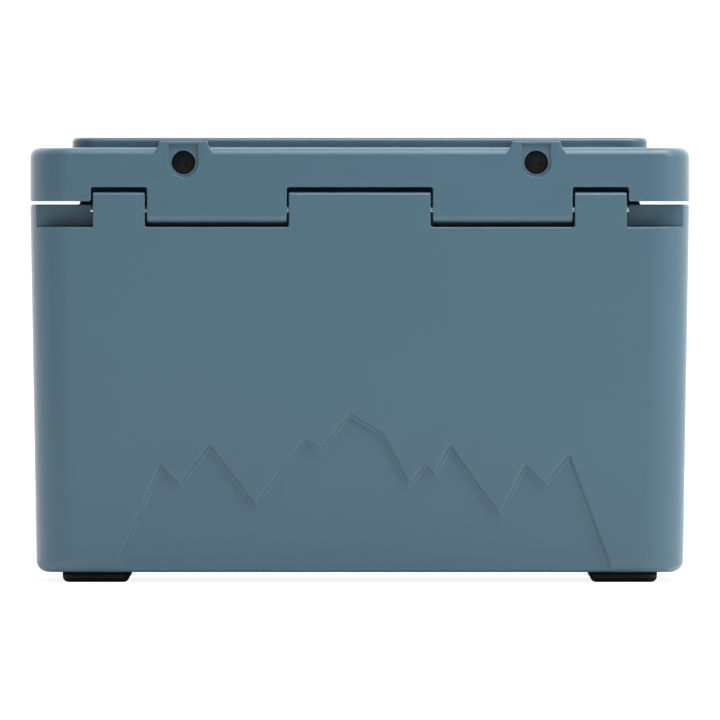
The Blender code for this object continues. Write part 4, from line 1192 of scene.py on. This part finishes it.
# ---------------------------------------------------------------- studio

def show_camera(tree, lit, seen, share, surface):
    """Lets the camera see one shader, to that share, where the light meets another."""
    choice = tree.nodes.new("ShaderNodeMixShader")
    path = tree.nodes.new("ShaderNodeLightPath").outputs["Is Camera Ray"]
    tree.links.new(math_in(tree, "MULTIPLY", path, share), choice.inputs["Fac"])
    tree.links.new(lit, choice.inputs[1])
    tree.links.new(seen, choice.inputs[2])
    tree.links.new(choice.outputs["Shader"], surface)


def make_studio():
    """Pale floor, white surround, and soft lights from overhead and from one side."""
    bpy.ops.object.select_all(action="DESELECT")
    bpy.ops.mesh.primitive_plane_add(size=16, location=(0, 0, 0))
    floor = bpy.context.object
    floor.name = "studio_floor"
    paint = bpy.data.materials.new("studio_floor")
    paint.use_nodes = True
    shader = paint.node_tree.nodes["Principled BSDF"]
    shader.inputs["Base Color"].default_value = (0.92, 0.92, 0.92, 1)
    shader.inputs["Roughness"].default_value = 0.9
    glow = paint.node_tree.nodes.new("ShaderNodeEmission")
    glow.inputs["Strength"].default_value = 1.1
    show_camera(paint.node_tree, shader.outputs["BSDF"], glow.outputs["Emission"], 0.8,
                paint.node_tree.nodes["Material Output"].inputs["Surface"])
    floor.data.materials.append(paint)

    world = bpy.data.worlds.new("studio")
    bpy.context.scene.world = world
    world.use_nodes = True
    tree = world.node_tree
    lit = tree.nodes["Background"]
    lit.inputs["Color"].default_value = (1, 1, 1, 1)
    compass = tree.nodes.new("ShaderNodeSeparateXYZ")
    tree.links.new(tree.nodes.new("ShaderNodeTexCoord").outputs["Generated"], compass.inputs["Vector"])
    tree.links.new(remap_in(tree, compass.outputs["Y"], SURROUND_FROM, SURROUND_TO, SURROUND_BRIGHT, SURROUND_DIM),
                   lit.inputs["Strength"])
    seen = tree.nodes.new("ShaderNodeBackground")
    seen.inputs["Color"].default_value = (1, 1, 1, 1)
    seen.inputs["Strength"].default_value = 1.3
    show_camera(tree, lit.outputs["Background"], seen.outputs["Background"], 1.0,
                tree.nodes["World Output"].inputs["Surface"])

    for name, place, size, power in LIGHTS:
        lamp = bpy.data.lights.new(name, "AREA")
        lamp.shape = "RECTANGLE"
        lamp.size, lamp.size_y = size
        lamp.energy = power
        light = bpy.data.objects.new(name, lamp)
        light.location = place
        light.rotation_euler = (Vector((0, 0, 0.22)) - Vector(place)).to_track_quat("-Z", "Y").to_euler()
        bpy.context.scene.collection.objects.link(light)


SURROUND_BRIGHT = 2.2
SURROUND_DIM = 0.04
SURROUND_FROM = -0.8
SURROUND_TO = 0.6
LIGHTS = [
    ("overhead", (-0.8, 0.9, 2.5), (2.2, 1.6), 82),
    ("key", (-3.0, 1.6, 1.6), (1.2, 1.6), 22),
]


def make_camera():
    """Long lens square to the hinge side, as far off as a catalogue view."""
    lens = bpy.data.cameras.new("camera")
    lens.sensor_width = 36
    lens.lens = 36 * 29.78 / 0.72
    lens.clip_end = 100
    camera = bpy.data.objects.new("camera", lens)
    camera.location = (-0.0002, 30, 0.380)
    target = Vector((-0.0002, HALF_DEPTH, 0.2224))
    camera.rotation_euler = (target - camera.location).to_track_quat("-Z", "Y").to_euler()
    bpy.context.scene.collection.objects.link(camera)
    bpy.context.scene.camera = camera
    bpy.context.scene.view_settings.view_transform = "Standard"


# ---------------------------------------------------------------- assembly

make_camera()
make_studio()
fit(make_tub(), "shell_plastic", "tub", "body_shell")
fit(make_lid(), "shell_plastic", "lid", "lid_shell")
make_rod()
make_gasket()
make_feet()
make_fill_plugs()
make_latches()
make_handles()
make_drain()
for core in [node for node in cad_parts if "foam" in node]:
    dress(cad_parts[core], "foam")
